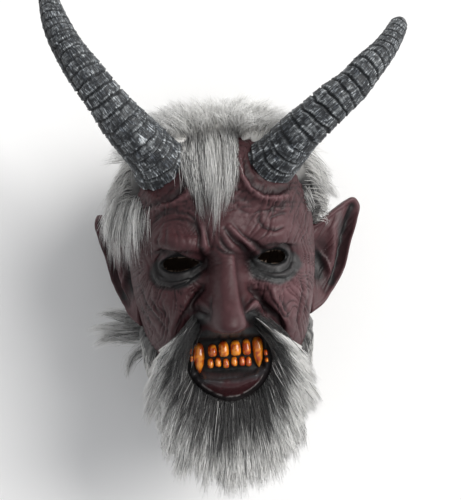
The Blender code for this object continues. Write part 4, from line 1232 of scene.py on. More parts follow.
def beard_point(across, part, lift):
    """Point on or over the beard: across its fan, along it from root to tip, and proud of it."""
    root, tip = beard_curves(BEARD_CURVE_POINTS)
    keys = np.linspace(0.0, 1.0, BEARD_CURVE_POINTS)
    root_z = skin_depth(root[:, 0], root[:, 1])
    rx, ry, rz = (np.interp(across, keys, column) for column in (root[:, 0], root[:, 1], root_z))
    tx, ty, tz = (np.interp(across, keys, column) for column in tip.T)
    swell = beard_swell(part)
    x = rx + (tx - rx) * part
    y = ry + (ty - ry) * part
    z = rz + (tz - rz) * np.clip(part, 0.0, None) ** 1.6 + 1.0 + 6.0 * swell + lift
    return np.stack((x, y, z), axis=-1)


def build_beard_undercoat(material):
    """Dense dark fur under the loose strands of the beard."""
    across = np.linspace(0.0, 1.0, 221)
    part = np.linspace(0.0, 0.80, 24)
    a, p = across[None, :], part[:, None]
    ragged = 1.0 - 0.10 * (0.5 - 0.5 * np.cos(2 * math.pi * BEARD_LOCKS * 2 * a))
    ragged = ragged - 0.05 * noise(a * 60, a * 0, 150)
    along = p * ragged
    swell = beard_swell(along)
    ridge = 1.1 * np.cos(2 * math.pi * BEARD_LOCKS * 3 * a + 3 * noise(a * 8, p * 3, 151)) * swell
    thin = ease(0.86, 0.45, p)
    outer = beard_point(a, along, -3.0 + ridge - 6.0 * ease(0.45, 0.80, p))
    inner = beard_point(a, along, -7.0 - 15.0 * swell * (0.25 + 0.75 * thin))
    triangles = grid_triangles(*outer.shape[:2], False)
    keep = np.ones(outer[..., 0].size, dtype=bool)
    points, triangles, source = thick_sheet(outer.reshape(-1, 3), inner.reshape(-1, 3), triangles, keep)
    stripes = ease(0.1, 0.8, streaks(a * 240, p * 60, 152)) * ease(0.2, 0.8, along)
    share = 0.4 * stripes * ease(0.35, 0.7, along) + 0.5 * ease(0.45, 0.68, along)
    colour = mix(FUR["under"], FUR["light"], share)
    piece = make_mesh("beard_undercoat", points, triangles, material, colour.reshape(-1, 3)[source])
    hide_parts("beard")
    return piece


def gathered(roots, controls, tips, clumps, share, rng):
    """Draw strands together into locks that share a tip."""
    leaders = rng.choice(len(roots), size=clumps, replace=False)
    nearest = np.empty(len(roots), dtype=int)
    for start in range(0, len(roots), 2000):
        block = roots[start:start + 2000]
        away = np.linalg.norm(block[:, None, :] - roots[leaders][None, :, :], axis=2)
        nearest[start:start + 2000] = leaders[np.argmin(away, axis=1)]
    share = share * (0.55 + 0.45 * rng.random(len(roots)))[:, None]
    tips = tips + (tips[nearest] - tips) * share
    shift = controls[nearest] - roots[nearest] + roots
    controls = controls + (shift - controls) * 0.5 * share
    return controls, tips


def strand_paths(roots, controls, tips, wave, stations, rng):
    """Curved paths of strands from root to tip, each a little wavy."""
    part = np.linspace(0.0, 1.0, stations)[None, :, None]
    paths = (1 - part) ** 2 * roots[:, None] + 2 * part * (1 - part) * controls[:, None]
    paths = paths + part**2 * tips[:, None]
    sway = rng.normal(size=(len(roots), 1, 3))
    phase = rng.random((len(roots), 1, 1)) * 6.3
    return paths + wave * (sway * np.sin(2.2 * math.pi * part + phase)) * part


def build_strands(name, paths, width, colours, material):
    """Tapered three-sided strands as one mesh, each with its own cell of the texture map."""
    count, stations = paths.shape[:2]
    tangents = np.gradient(paths, axis=1)
    tangents /= np.maximum(np.linalg.norm(tangents, axis=2, keepdims=True), 1e-9)
    helper = np.where(np.abs(tangents[..., 2:3]) < 0.8, (0.0, 0.0, 1.0), (1.0, 0.0, 0.0))
    across = np.cross(tangents, helper)
    across /= np.linalg.norm(across, axis=2, keepdims=True)
    third = np.cross(across, tangents)
    taper = np.interp(np.linspace(0, 1, stations), (0.0, 0.15, 0.55, 1.0), (0.75, 1.0, 0.8, 0.1))
    radius = (0.5 * np.broadcast_to(width, (count,)))[:, None, None] * taper[None, :, None]
    corners = []
    for corner in range(3):
        angle = 2 * math.pi * corner / 3 + 0.5 * math.pi
        corners.append(paths + radius * (math.cos(angle) * across + math.sin(angle) * third))
    rings = np.stack(corners, axis=2)[:, :-1].reshape(count, -1, 3)
    points = np.concatenate((rings, paths[:, -1:]), axis=1)
    per_strand = points.shape[1]
    paint = np.repeat(colours[:, :-1], 3, axis=1)
    paint = np.concatenate((paint, colours[:, -1:]), axis=1)
    points[..., 2] = np.maximum(points[..., 2], 0.3)
    pattern, uv_pattern = strand_pattern(stations)
    triangles = (pattern[None] + per_strand * np.arange(count)[:, None, None]).reshape(-1, 3)
    piece = make_mesh(name, points.reshape(-1, 3), triangles, material, paint.reshape(-1, 3))
    map_strands(piece.data, count, uv_pattern)
    return piece


def strand_pattern(stations):
    """Triangles of one strand, and the place of their corners in its cell of the texture map."""
    triangles, corners = [], []
    rows = stations - 1

    def place(side, row):
        return (0.04 + 0.30 * side, 0.14 + 0.82 * row / rows)

    for row in range(rows - 1):
        for side in range(3):
            after = (side + 1) % 3
            here, beside = 3 * row + side, 3 * row + after
            above, beyond = here + 3, beside + 3
            low_left, low_right = place(side, row), place(side + 1, row)
            high_left, high_right = place(side, row + 1), place(side + 1, row + 1)
            triangles += [(here, beside, beyond), (here, beyond, above)]
            corners += [low_left, low_right, high_right, low_left, high_right, high_left]
    tip = 3 * rows
    for side in range(3):
        after = (side + 1) % 3
        low_left, low_right = place(side, rows - 1), place(side + 1, rows - 1)
        top = (0.5 * (low_left[0] + low_right[0]), 0.98)
        triangles.append((3 * (rows - 1) + side, 3 * (rows - 1) + after, tip))
        corners += [low_left, low_right, top]
    triangles.append((2, 1, 0))
    corners += [(0.05, 0.02), (0.90, 0.02), (0.45, 0.11)]
    return np.array(triangles), np.array(corners)


def map_strands(mesh, count, pattern):
    """Give each strand its own cell of the texture map."""
    columns = math.ceil(math.sqrt(count * UV_CELL_SHAPE))
    rows = math.ceil(count / columns)
    number = np.arange(count)
    corner = np.stack((number % columns, number // columns), axis=-1)[:, None, :]
    cells = (corner + pattern[None]) / np.array((columns, rows))
    layer = mesh.uv_layers.new(name="OFBake")
    layer.data.foreach_set("uv", cells.reshape(-1).astype(np.float32))


def hood_root(theta, y, proud):
    """Place on the smooth head under the hood's fur, with its outward direction."""
    point = bare_head(theta, y)
    beside = bare_head(theta + 0.01, y)
    above = bare_head(theta, np.minimum(y + 0.5, CROWN_Y - 0.01))
    normal = np.cross(beside - point, above - point)
    normal /= np.maximum(np.linalg.norm(normal, axis=-1, keepdims=True), 1e-9)
    return point + normal * proud, normal


def scattered_hood(count, low_y, high_y, low_angle, high_angle, sides, rng):
    """Random covered places on the hood, even over its area."""
    theta_found, y_found = [], []
    while sum(len(part) for part in theta_found) < count:
        y = rng.uniform(low_y, high_y, 4 * count)
        angle = rng.uniform(low_angle, high_angle, 4 * count)
        theta = np.radians(angle) * rng.choice(sides, 4 * count)
        rise = np.clip((y - CAP_START_Y) / (CROWN_Y - CAP_START_Y), 0.0, 0.995)
        shrink = (1.0 - rise**CAP_POWER) ** (1.0 / CAP_POWER)
        steep = 1.0 / np.sqrt(np.maximum(1.0 - rise**2, 0.02))
        wanted = np.clip(shrink * steep, 0.0, 1.6) / 1.6
        _, covered = fur_thickness(theta, y)
        good = (covered > 0.25) & (rng.random(4 * count) < wanted)
        theta_found.append(theta[good])
        y_found.append(y[good])
    return np.concatenate(theta_found)[:count], np.concatenate(y_found)[:count]


def hood_strands(name, places, flow, length, lift, width, clumps, share, tone, material, rng):
    """Strands that grow out of the hood and are combed along a direction."""
    theta, y = places
    count = len(theta)
    depth, covered = fur_thickness(theta, y)
    roots, normals = hood_root(theta, y, 0.0)
    roots = roots + normals * (0.25 * depth * covered)[:, None]
    flow = np.broadcast_to(flow(theta, y, rng), (count, 3))
    along = flow - normals * (flow * normals).sum(axis=1, keepdims=True)
    along /= np.maximum(np.linalg.norm(along, axis=1, keepdims=True), 1e-9)
    reach = length * rng.uniform(0.65, 1.15, count)
    rise = (depth * (0.75 + lift) * rng.uniform(0.7, 1.15, count))[:, None]
    controls = roots + along * (0.42 * reach)[:, None] + normals * rise * 1.1
    tips = roots + along * reach[:, None] + normals * rise * (0.55 + lift)
    tips = tips + rng.normal(size=(count, 3)) * 0.06 * length
    controls, tips = gathered(roots, controls, tips, clumps, share, rng)
    paths = strand_paths(roots, controls, tips, 1.1, HOOD_STATIONS, rng)
    colours = strand_colours(count, tone, HOOD_STATIONS, rng)
    return build_strands(name, paths, width * rng.uniform(0.7, 1.2, count), colours, material)


def strand_colours(count, tone, stations, rng):
    """Colours along strands: a dark root that turns to the tip's colour."""
    root, tip, turn, dark_share = tone
    part = np.linspace(0.0, 1.0, stations)[None, :]
    bright = rng.uniform(0.65, 1.1, count)[:, None, None]
    some_dark = (rng.random(count) < dark_share)[:, None, None]
    turning = turn + rng.uniform(-0.2, 0.2, count)[:, None]
    share = ease(0.0, 1.0, (part - turning + 0.2) / 0.4)
    colours = mix(FUR[root], FUR[tip], share) * bright
    return np.where(some_dark, colours * 0.15, colours)


# Guide lines of the two fans of loose wisps, and the share of dark strands across each fan
FOREHEAD_HALF_WIDTH = 38.0
FORELOCK_GUIDES = (
    ((-32, 102, 144), (-32, 88, 170), (-27, 64, 189), (-24, 40, 202)),
    ((-20, 108, 150), (-21, 91, 178), (-19, 62, 199), (-16, 30, 208)),
    ((-8, 110, 152), (-9, 90, 182), (-10, 56, 205), (-11, 18, 213)),
    ((4, 110, 152), (5, 89, 183), (1, 56, 206), (-8, 17, 213)),
    ((17, 108, 150), (17, 87, 180), (11, 62, 199), (0, 34, 209)),
)
FORELOCK_DARK = ((0.0, 0.22, 0.42, 0.52, 0.78, 1.0), (0.42, 0.55, 0.45, 0.12, 0.10, 0.60))
LEFT_GUIDES = (
    ((-44, 80, 142), (-50, 62, 164), (-55, 40, 175), (-59, 12, 178)),
    ((-50, 80, 138), (-59, 62, 160), (-67, 36, 169), (-70, -2, 170)),
    ((-56, 79, 130), (-69, 63, 151), (-79, 35, 158), (-81, -8, 159)),
    ((-62, 78, 118), (-79, 63, 140), (-91, 38, 147), (-95, -2, 148)),
    ((-65, 79, 108), (-83, 66, 130), (-95, 44, 137), (-101, 12, 139)),
    ((-62, 86, 104), (-77, 78, 122), (-88, 64, 129), (-96, 42, 130)),
)
LEFT_DARK = ((0.0, 0.15, 0.4, 1.0), (0.45, 0.25, 0.12, 0.06))

# Locks and tufts: strands, half width, half thickness, share of dark strands, path
RIGHT_LOCKS = (
    (190, 8.0, 5.0, 0.12, ((56, 76, 132), (64, 76, 146), (72, 68, 152), (77, 60, 152), (79, 50, 150))),
    (220, 8.0, 5.0, 0.12, ((60, 76, 120), (70, 75, 138), (80, 66, 144), (86, 58, 144), (92, 48, 142))),
    (200, 8.0, 5.0, 0.12, ((60, 70, 112), (76, 68, 128), (87, 60, 134), (95, 52, 133), (100, 46, 130))),
    (150, 8.0, 5.0, 0.12, ((58, 82, 114), (70, 82, 128), (80, 76, 134), (88, 70, 134), (97, 64, 130))),
    (150, 6.0, 3.0, 0.45, ((54, 68, 136), (62, 64, 150), (67, 56, 155), (72, 46, 155), (76, 36, 153))),
)
LEFT_TUFTS = (
    (180, 4.5, 3.5, 0.10, ((-62, -42, 72), (-80, -43, 80), (-93, -40, 83), (-103, -38, 82), (-111, -39, 81))),
    (240, 5.5, 4.0, 0.06, ((-62, -52, 72), (-80, -53, 80), (-96, -52, 83), (-110, -51, 82), (-120, -53, 81))),
    (220, 5.5, 4.0, 0.06, ((-62, -60, 74), (-78, -60, 82), (-92, -59, 84), (-104, -61, 83), (-116, -66, 82))),
    (120, 5.0, 3.5, 0.15, ((-60, -68, 76), (-72, -71, 86), (-81, -76, 89), (-86, -85, 88), (-88, -96, 87))),
)
CROWN_TUFTS = (
    (170, 10.0, 7.0, 0.03, ((10, 96, 112), (14, 111, 116), (18, 118, 117), (22, 125, 116), (28, 134, 114))),
    (170, 10.0, 7.0, 0.03,
     ((-22, 94, 112), (-25, 108, 116), (-29, 115, 117), (-34, 120, 116), (-42, 126, 114))),
    (170, 10.0, 7.0, 0.03, ((36, 92, 110), (42, 104, 114), (46, 110, 115), (51, 116, 114), (57, 121, 112))),
    (170, 10.0, 7.0, 0.03, ((-4, 96, 112), (-6, 111, 116), (-8, 118, 117), (-9, 124, 116), (-10, 131, 114))),
    (150, 10.0, 7.0, 0.03, ((2, 96, 118), (4, 110, 124), (5, 118, 128), (8, 124, 130), (12, 129, 130))),
    (150, 11.0, 5.0, 0.05, ((0, 104, 108), (2, 114, 104), (3, 119, 93), (2, 117, 78), (0, 110, 62))),
    (110, 10.0, 5.0, 0.05, ((-8, 104, 104), (-13, 113, 98), (-20, 115, 86), (-28, 110, 72), (-34, 102, 60))),
    (110, 10.0, 5.0, 0.05, ((8, 104, 104), (15, 113, 98), (22, 115, 86), (30, 110, 72), (36, 102, 60))),
    (150, 10.0, 7.0, 0.03,
     ((-34, 92, 112), (-38, 103, 116), (-42, 110, 117), (-48, 115, 116), (-56, 118, 114))),
)


def lock_strands(name, locks, width, tone, wave, material, rng):
    """Strands gathered along given locks, fuller in the middle and pointed at the tips."""
    paths, colours = [], []
    stops = np.linspace(0.0, 1.0, LOCK_STATIONS)
    for count, half_width, half_depth, dark_share, path in locks:
        middle = smooth_path(path, GUIDE_POINTS)
        places = np.linspace(0.0, 1.0, GUIDE_POINTS)
        tangents = np.gradient(middle, axis=0)
        tangents /= np.linalg.norm(tangents, axis=1, keepdims=True)
        level = np.zeros(GUIDE_POINTS)
        outward = np.stack((0.25 * np.sign(middle[:, 0]), level, level + 1.0), axis=-1)
        across = np.cross(tangents, outward)
        across /= np.linalg.norm(across, axis=1, keepdims=True)
        proud = np.cross(across, tangents)
        start = rng.uniform(0.0, 0.45, count)
        end = np.clip(start + rng.uniform(0.45, 0.85, count), 0.0, 1.05)
        spread = np.clip(rng.normal(size=(count, 2)) * 0.6, -1.5, 1.5)
        bundle = rng.integers(0, LOCK_BUNDLES, count)
        middles = rng.normal(size=(LOCK_BUNDLES, 2)) * 0.75
        gather = ease(0.15, 0.9, stops)[None, :, None] * rng.uniform(0.3, 0.95, (count, 1, 1))
        offset = spread[:, None] * (1.0 - 0.75 * gather) + middles[bundle][:, None] * gather
        at = start[:, None] + (end - start)[:, None] * stops[None, :]
        inside = np.clip(at, 0.0, 1.0)
        full = (0.8 + 0.35 * np.sin(math.pi * inside)) * (1.0 - 0.62 * inside**2)
        strand = np.stack([np.interp(inside, places, column) for column in middle.T], axis=-1)
        side = np.stack([np.interp(inside, places, column) for column in across.T], axis=-1)
        front = np.stack([np.interp(inside, places, column) for column in proud.T], axis=-1)
        strand = strand + side * (offset[..., 0] * half_width * full)[..., None]
        strand = strand + front * (offset[..., 1] * half_depth * full)[..., None]
        strand = strand + tangents[-1] * (12.0 * np.clip(at - 1.0, 0.0, None))[..., None]
        phase = rng.random((count, 1)) * 6.3
        loose = np.where(rng.random(count) < 0.12, 2.8, 1.0)[:, None, None]
        sway = rng.normal(size=(count, 1, 3)) * np.sin(3.6 * at + phase)[..., None]
        paths.append(strand + wave * loose * sway * stops[None, :, None])
        dull = rng.uniform(0.75, 1.1)
        colours.append(dull * strand_colours(count, (*tone, dark_share), LOCK_STATIONS, rng))
    paths = np.concatenate(paths)
    colours = np.concatenate(colours)
    widths = width * rng.uniform(0.7, 1.2, len(paths))
    return build_strands(name, paths, widths, colours, material)


def fan_strands(name, guides, count, wisps, depth, dark, tone, wave, material, rng):
    """Strands spread over a fan of guide lines and drawn together into loose wisps."""
    lines = np.stack([smooth_path(guide, GUIDE_POINTS) for guide in guides])
    stops = np.linspace(0.0, 1.0, LOCK_STATIONS)[None, :]
    place = rng.random(count)
    middles = rng.random(wisps)
    wisp = np.argmin(np.abs(place[:, None] - middles[None, :]), axis=1)
    start = rng.uniform(0.0, 0.45, count)
    limit = rng.uniform(0.76, 1.05, wisps)[wisp]
    end = np.minimum(start + rng.uniform(0.35, 0.75, count), limit + rng.uniform(-0.08, 0.03, count))
    end = np.maximum(end, start + 0.15)[:, None]
    at = start[:, None] + (end - start[:, None]) * stops
    loose = rng.random(count) < 0.30
    gather = np.where(loose, 0.1, rng.uniform(0.3, 0.95, count))[:, None] * ease(0.1, 0.85, stops)
    drift = rng.normal(size=wisps)[wisp] * 0.05 + rng.normal(size=count) * np.where(loose, 0.07, 0.02)
    across = place[:, None] + (middles[wisp] - place)[:, None] * gather + drift[:, None] * stops
    across = np.clip(across, -0.09, 1.07) * (len(guides) - 1)
    along = np.clip(at, 0.0, 1.0) * GUIDE_LAST
    line = np.clip(across.astype(int), 0, len(guides) - 2)
    step = np.minimum(along.astype(int), GUIDE_LAST - 1)
    share_line, share_step = across - line, along - step
    near = mix(lines[line, step], lines[line, step + 1], share_step)
    far = mix(lines[line + 1, step], lines[line + 1, step + 1], share_step)
    paths = mix(near, far, share_line)
    layer = rng.uniform(-1.0, 1.0, count) * 0.6 + rng.normal(size=wisps)[wisp] * 0.5
    paths[..., 2] += layer[:, None] * depth * (1.0 - 0.5 * at)
    phase = rng.random((count, 1)) * 6.3
    sway = rng.normal(size=(count, 1, 3)) * np.sin(3.6 * at + phase)[..., None]
    paths = paths + np.where(loose, 2.2 * wave, wave)[:, None, None] * sway * stops[..., None]
    over_face = np.abs(paths[..., 0]) < FOREHEAD_HALF_WIDTH
    rest = skin_depth(np.where(over_face, paths[..., 0], 0.0), np.minimum(paths[..., 1], 100.0)) + 1.5
    raised = np.maximum(paths[..., 2], rest + 0.6 * layer[:, None])
    paths[..., 2] = np.where(over_face, raised, paths[..., 2])
    colours = strand_colours(count, (*tone, 0.0), LOCK_STATIONS, rng)
    dull = rng.uniform(0.75, 1.1, wisps)[wisp]
    dull = np.where(rng.random(count) < np.interp(place, *dark), 0.12, dull)
    width = 0.44 * rng.uniform(0.7, 1.2, count)
    return build_strands(name, paths, width, colours * dull[:, None, None], material)


def beard_strands(name, count, low, high, width, material, rng):
    """Strands of the beard between two places across its fan, dark at the mouth and pale outside."""
    across = rng.uniform(low, high, count)
    start = rng.uniform(0.0, 1.0, count) ** 1.3 * 0.68
    reach = rng.uniform(0.30, 0.55, count)
    limit = 0.90 + 0.12 * noise(across * 44, across * 0, 160) + rng.uniform(-0.04, 0.05, count)
    end = np.maximum(np.minimum(start + reach, limit), start + 0.12)
    layer = rng.uniform(0.0, 1.0, count)
    wander = across + 0.010 * noise(across * 30, end * 4, 161)
    lock = (np.floor(wander * 44.0) + 0.5) / 44.0 + 0.006 * noise(np.floor(wander * 44.0), across * 0, 162)
    gather = rng.uniform(0.25, 0.85, count)
    tip_across = np.clip(across + rng.normal(size=count) * 0.008 + gather * (lock - across), 0.0, 1.0)
    raised = 2.0 * noise(np.floor(wander * 44.0) * 0.9, start * 3, 163)
    lift = -2.5 + 4.0 * layer
    roots = beard_point(across, start, lift - 2.0)
    middle = 0.5 * (across + tip_across)
    proud = lift + raised + rng.uniform(0.5, 3.5, count)
    controls = beard_point(middle, start + 0.5 * (end - start), proud)
    tips = beard_point(tip_across, end, lift + raised + rng.uniform(-3.0, 1.5, count))
    hang = np.interp(across, (0.0, 0.07, 0.24, 0.80, 0.93, 1.0), (22.0, 18.0, 3.0, 0.0, 5.0, 9.0)) * end
    controls[:, 1] -= 0.35 * hang
    tips[:, 1] -= hang
    stray = (rng.random(count) < 0.05)[:, None]
    astray = np.clip(rng.normal(size=(count, 3)) * 3.5, -5.0, 5.0) * (1.0, 0.6, 0.5)
    tips = tips + np.where(stray, astray, rng.normal(size=(count, 3)) * 0.9)
    paths = strand_paths(roots, controls, tips, 0.8, BEARD_STATIONS, rng)
    colours = beard_colours(across, start, end, rng)
    return build_strands(name, paths, width * rng.uniform(0.7, 1.2, count), colours, material)


def beard_colours(across, start, end, rng):
    """Dark round the mouth and under the lip, white towards the sides and the tips."""
    count = len(across)
    part = np.linspace(0.0, 1.0, BEARD_STATIONS)[None, :]
    at = start[:, None] + (end - start)[:, None] * part
    places = (0.0, 0.12, 0.26, 0.42, 0.56, 0.68, 0.80, 1.0)
    turn = np.interp(across, places, (0.48, 0.52, 0.50, 0.47, 0.46, 0.45, 0.43, 0.36))
    turn = turn + 0.10 * noise(across * 44, across * 0, 164) + rng.uniform(-0.10, 0.10, count)
    share = ease(-0.10, 0.16, at - turn[:, None])
    pale = (rng.random(count) < 0.10)[:, None]
    share = np.where(pale, np.maximum(share, 0.5), share)
    dark = (rng.random(count) < np.interp(start, (0.2, 0.5), (0.16, 0.05)))[:, None]
    share = np.where(dark, 0.10 * share, share)
    bright = rng.uniform(0.88, 1.03, count)[:, None, None]
    return mix(FUR["dark"], FUR["white"], share) * bright


MOUSTACHE_PATHS = (
    ((-24, -43, 196), (-31, -52, 193), (-40, -63, 187), (-50, -74, 178), (-60, -88, 168)),
    ((-26, -48, 196), (-34, -60, 194), (-41, -74, 188), (-46, -90, 180), (-51, -108, 172)),
    ((17, -43, 196), (26, -51, 194), (36, -61, 188), (47, -72, 178), (58, -86, 166)),
    ((20, -48, 196), (30, -59, 194), (37, -73, 188), (43, -90, 180), (49, -108, 172)),
)
MOUSTACHES = tuple((300, 4.5, 2.5, 0.45, path) for path in MOUSTACHE_PATHS)


def combed_down(theta, y, rng):
    """Direction of the fur on the sides and the back: down the head, and back behind the right ear."""
    out = np.sign(np.sin(theta)) * 0.25
    stir = rng.normal(size=(len(theta), 3)) * 0.22
    behind = ease(80.0, 55.0, y) * ease(115.0, 95.0, np.degrees(theta)) * ease(-10.0, 10.0, y)
    return np.column_stack((out, 0.75 * behind - 1.0, -0.10 - 1.1 * behind)) + stir


def combed_forward(theta, y, rng):
    """Direction of the fur on the crown: outward and up over the top."""
    stir = rng.normal(size=(len(theta), 3)) * 0.5
    out = 0.9 * np.sin(theta)
    return np.column_stack((out, 0.7 * np.ones(len(theta)), 0.45 * np.ones(len(theta)))) + stir


def combed_over(theta, y, rng):
    """Direction of the fur at the front of the crown, where it tumbles onto the forehead."""
    stir = rng.normal(size=(len(theta), 3)) * 0.45
    out = 0.5 * np.sin(theta)
    return np.column_stack((out, -1.2 * np.ones(len(theta)), 0.9 * np.ones(len(theta)))) + stir


def build_hair(material):
    """All the loose strands of the hood."""
    rng = np.random.default_rng(HAIR_SEED)
    pale = ("light", "white", 0.15, 0.03)
    light = ("grey", "light", 0.35, 0.10)
    soft = ("dark", "light", 0.30, 0.16)
    brow = scattered_hood(900, 97.0, CROWN_Y - 0.8, 0.0, 60.0, (-1, 1), rng)
    hood_strands("hair_brow", brow, combed_over, 30.0, 0.95, 0.55, 60, 0.7, pale, material, rng)
    front = scattered_hood(4000, 84.0, CROWN_Y - 0.6, 0.0, 125.0, (-1, 1), rng)
    hood_strands("hair_crown", front, combed_forward, 26.0, 0.85, 0.60, 200, 0.7, pale, material, rng)
    side = scattered_hood(3300, -20.0, 92.0, 55.0, 128.0, (-1, 1), rng)
    hood_strands("hair_sides", side, combed_down, 28.0, 0.15, 0.62, 200, 0.6, light, material, rng)
    nape = scattered_hood(3000, NAPE_Y + 1.0, -20.0, 52.0, 128.0, (-1, 1), rng)
    hood_strands("hair_neck", nape, combed_down, 28.0, 0.05, 0.70, 190, 0.6, soft, material, rng)
    back = scattered_hood(4500, NAPE_Y + 1.0, CROWN_Y - 0.8, 118.0, 180.0, (-1, 1), rng)
    hood_strands("hair_back", back, combed_down, 34.0, 0.0, 1.0, 240, 0.6, light, material, rng)
    white = ("light", "white", 0.10)
    fan_strands("forelock", FORELOCK_GUIDES, 1560, 13, 6.0, FORELOCK_DARK, white, 2.0, material, rng)
    fan_strands("hair_left_locks", LEFT_GUIDES, 1700, 22, 8.0, LEFT_DARK, white, 2.4, material, rng)
    lock_strands("hair_right_locks", RIGHT_LOCKS, 0.46, ("light", "white", 0.22), 1.7, material, rng)
    lock_strands("hair_left_tufts", LEFT_TUFTS, 0.44, ("white", "white", 0.10), 1.8, material, rng)
    lock_strands("crown_tufts", CROWN_TUFTS, 0.46, ("light", "white", 0.2), 2.0, material, rng)


def build_beard(material):
    """All the loose strands of the beard and the moustache."""
    rng = np.random.default_rng(BEARD_SEED)
    beard_strands("beard_left", 3300, 0.0, 0.36, 0.56, material, rng)
    beard_strands("beard_chin", 3600, 0.32, 0.70, 0.56, material, rng)
    beard_strands("beard_right", 3300, 0.66, 1.0, 0.56, material, rng)
    lock_strands("moustache", MOUSTACHES, 0.46, ("dark", "white", 0.85), 1.0, material, rng)


# Materials

def shader_nodes(name):
    """New material with its nodes, links and Principled shader."""
    material = bpy.data.materials.new(name)
    material.use_nodes = True
    nodes = material.node_tree.nodes
    return material, nodes, material.node_tree.links, nodes["Principled BSDF"]


def set_inputs(node, values):
    """Give some inputs of a node fixed values."""
    for name, value in values.items():
        node.inputs[name].default_value = value


def stored(nodes, name, output):
    """Output of a node that reads what the mesh keeps under a name."""
    node = nodes.new("ShaderNodeAttribute")
    node.attribute_name = name
    return node.outputs[output]


def new_range(nodes, links, value, limits):
    """Output of a node that brings a value to a new range."""
    node = nodes.new("ShaderNodeMapRange")
    set_inputs(node, limits)
    links.new(value, node.inputs["Value"])
    return node.outputs["Result"]


def mixed_colour(nodes, links, kind, fixed, linked):
    """Output of a node that mixes two colours."""
    node = nodes.new("ShaderNodeMix")
    node.data_type = "RGBA"
    node.blend_type = kind
    set_inputs(node, fixed)
    for name, output in linked.items():
        links.new(output, node.inputs[name])
    return node.outputs["Result"]


def noise_texture(nodes, links, place, scale, detail, roughness):
    """Output of a noise texture at a place."""
    node = nodes.new("ShaderNodeTexNoise")
    set_inputs(node, {"Scale": scale, "Detail": detail, "Roughness": roughness})
    links.new(place, node.inputs["Vector"])
    return node.outputs["Fac"]


def object_noise(nodes, links, scale, detail, roughness):
    """Noise texture in object space."""
    place = nodes.new("ShaderNodeTexCoord").outputs["Object"]
    return noise_texture(nodes, links, place, scale, detail, roughness)


def add_bump(nodes, links, shader, height, distance, strength):
    """Bump from a height."""
    bumps = nodes.new("ShaderNodeBump")
    set_inputs(bumps, {"Distance": distance, "Strength": strength})
    links.new(height, bumps.inputs["Height"])
    links.new(bumps.outputs["Normal"], shader.inputs["Normal"])


def painted_colour(nodes, links, shader, texture, low, high):
    """Painted colour of the mesh, made uneven by a texture."""
    paint = stored(nodes, "Paint", "Color")
    spread = new_range(nodes, links, texture, {"To Min": low, "To Max": high})
    product = mixed_colour(nodes, links, "MULTIPLY", {"Factor": 1.0}, {"A": paint, "B": spread})
    links.new(product, shader.inputs["Base Color"])


def latex_material():
    """Painted latex: its shine follows the paint, and it has fine pores."""
    material, nodes, links, shader = shader_nodes("painted_latex")
    pores = object_noise(nodes, links, 900.0, 5.0, 0.6)
    painted_colour(nodes, links, shader, object_noise(nodes, links, 260.0, 6.0, 0.7), 0.72, 1.28)
    shine = stored(nodes, "Shine", "Fac")
    rough = new_range(nodes, links, shine, {"To Min": 0.70, "To Max": 0.22})
    links.new(rough, shader.inputs["Roughness"])
    set_inputs(shader, {"Specular IOR Level": 0.32})
    add_bump(nodes, links, shader, pores, 0.0006, 0.35)
    return material


def stretched_noise(nodes, links, scale):
    """Noise drawn out along the horn or round it."""
    stretch = nodes.new("ShaderNodeVectorMath")
    stretch.operation = "MULTIPLY"
    stretch.inputs[1].default_value = scale
    links.new(stored(nodes, "Grain", "Vector"), stretch.inputs[0])
    return noise_texture(nodes, links, stretch.outputs["Vector"], 1.0, 3.0, 0.65)


def horn_material():
    """Dry-brushed horn: dull, with fine pale lines along it and rough grain."""
    material, nodes, links, shader = shader_nodes("brushed_horn")
    lines = stretched_noise(nodes, links, (0.95, 0.16, 1.0))
    rings = stretched_noise(nodes, links, (0.12, 0.75, 1.0))
    sharp = new_range(nodes, links, lines, {"From Min": 0.545, "From Max": 0.605, "To Max": 0.95})
    level = new_range(nodes, links, rings, {"From Min": 0.56, "From Max": 0.70, "To Max": 0.45})
    either = nodes.new("ShaderNodeMath")
    either.operation = "MAXIMUM"
    links.new(sharp, either.inputs[0])
    links.new(level, either.inputs[1])
    brushed = either.outputs["Value"]
    paint = stored(nodes, "Paint", "Color")
    paler = {"Factor": 1.0, "B": (7.0, 7.0, 7.0, 1.0)}
    palest = {"Factor": 1.0, "B": (0.60, 0.63, 0.65, 1.0)}
    tint = mixed_colour(nodes, links, "MULTIPLY", paler, {"A": paint})
    limit = mixed_colour(nodes, links, "DARKEN", palest, {"A": tint})
    colour = mixed_colour(nodes, links, "MIX", {}, {"Factor": brushed, "A": paint, "B": limit})
    links.new(colour, shader.inputs["Base Color"])
    set_inputs(shader, {"Roughness": 0.55, "Specular IOR Level": 0.4})
    add_bump(nodes, links, shader, brushed, 0.0008, 0.8)
    return material


def tooth_material():
    """Glossy painted teeth."""
    material, nodes, links, shader = shader_nodes("glossy_teeth")
    painted_colour(nodes, links, shader, object_noise(nodes, links, 500.0, 4.0, 0.6), 0.7, 1.3)
    grain = object_noise(nodes, links, 800.0, 3.0, 0.5)
    set_inputs(shader, {"Roughness": 0.16, "Coat Weight": 0.6, "Coat Roughness": 0.08})
    add_bump(nodes, links, shader, grain, 0.0006, 0.3)
    return material


def fur_material():
    """Synthetic fur with a soft sheen along the strands."""
    material, nodes, links, shader = shader_nodes("synthetic_fur")
    painted_colour(nodes, links, shader, object_noise(nodes, links, 150.0, 4.0, 0.6), 0.75, 1.25)
    set_inputs(shader, {"Roughness": 0.5, "Specular IOR Level": 0.35})
    set_inputs(shader, {"Sheen Weight": 0.25, "Sheen Roughness": 0.35})
    set_inputs(shader, {"Subsurface Weight": 0.6, "Subsurface Scale": 0.0012})
    set_inputs(shader, {"Subsurface Radius": (1.0, 1.0, 1.0)})
    return material


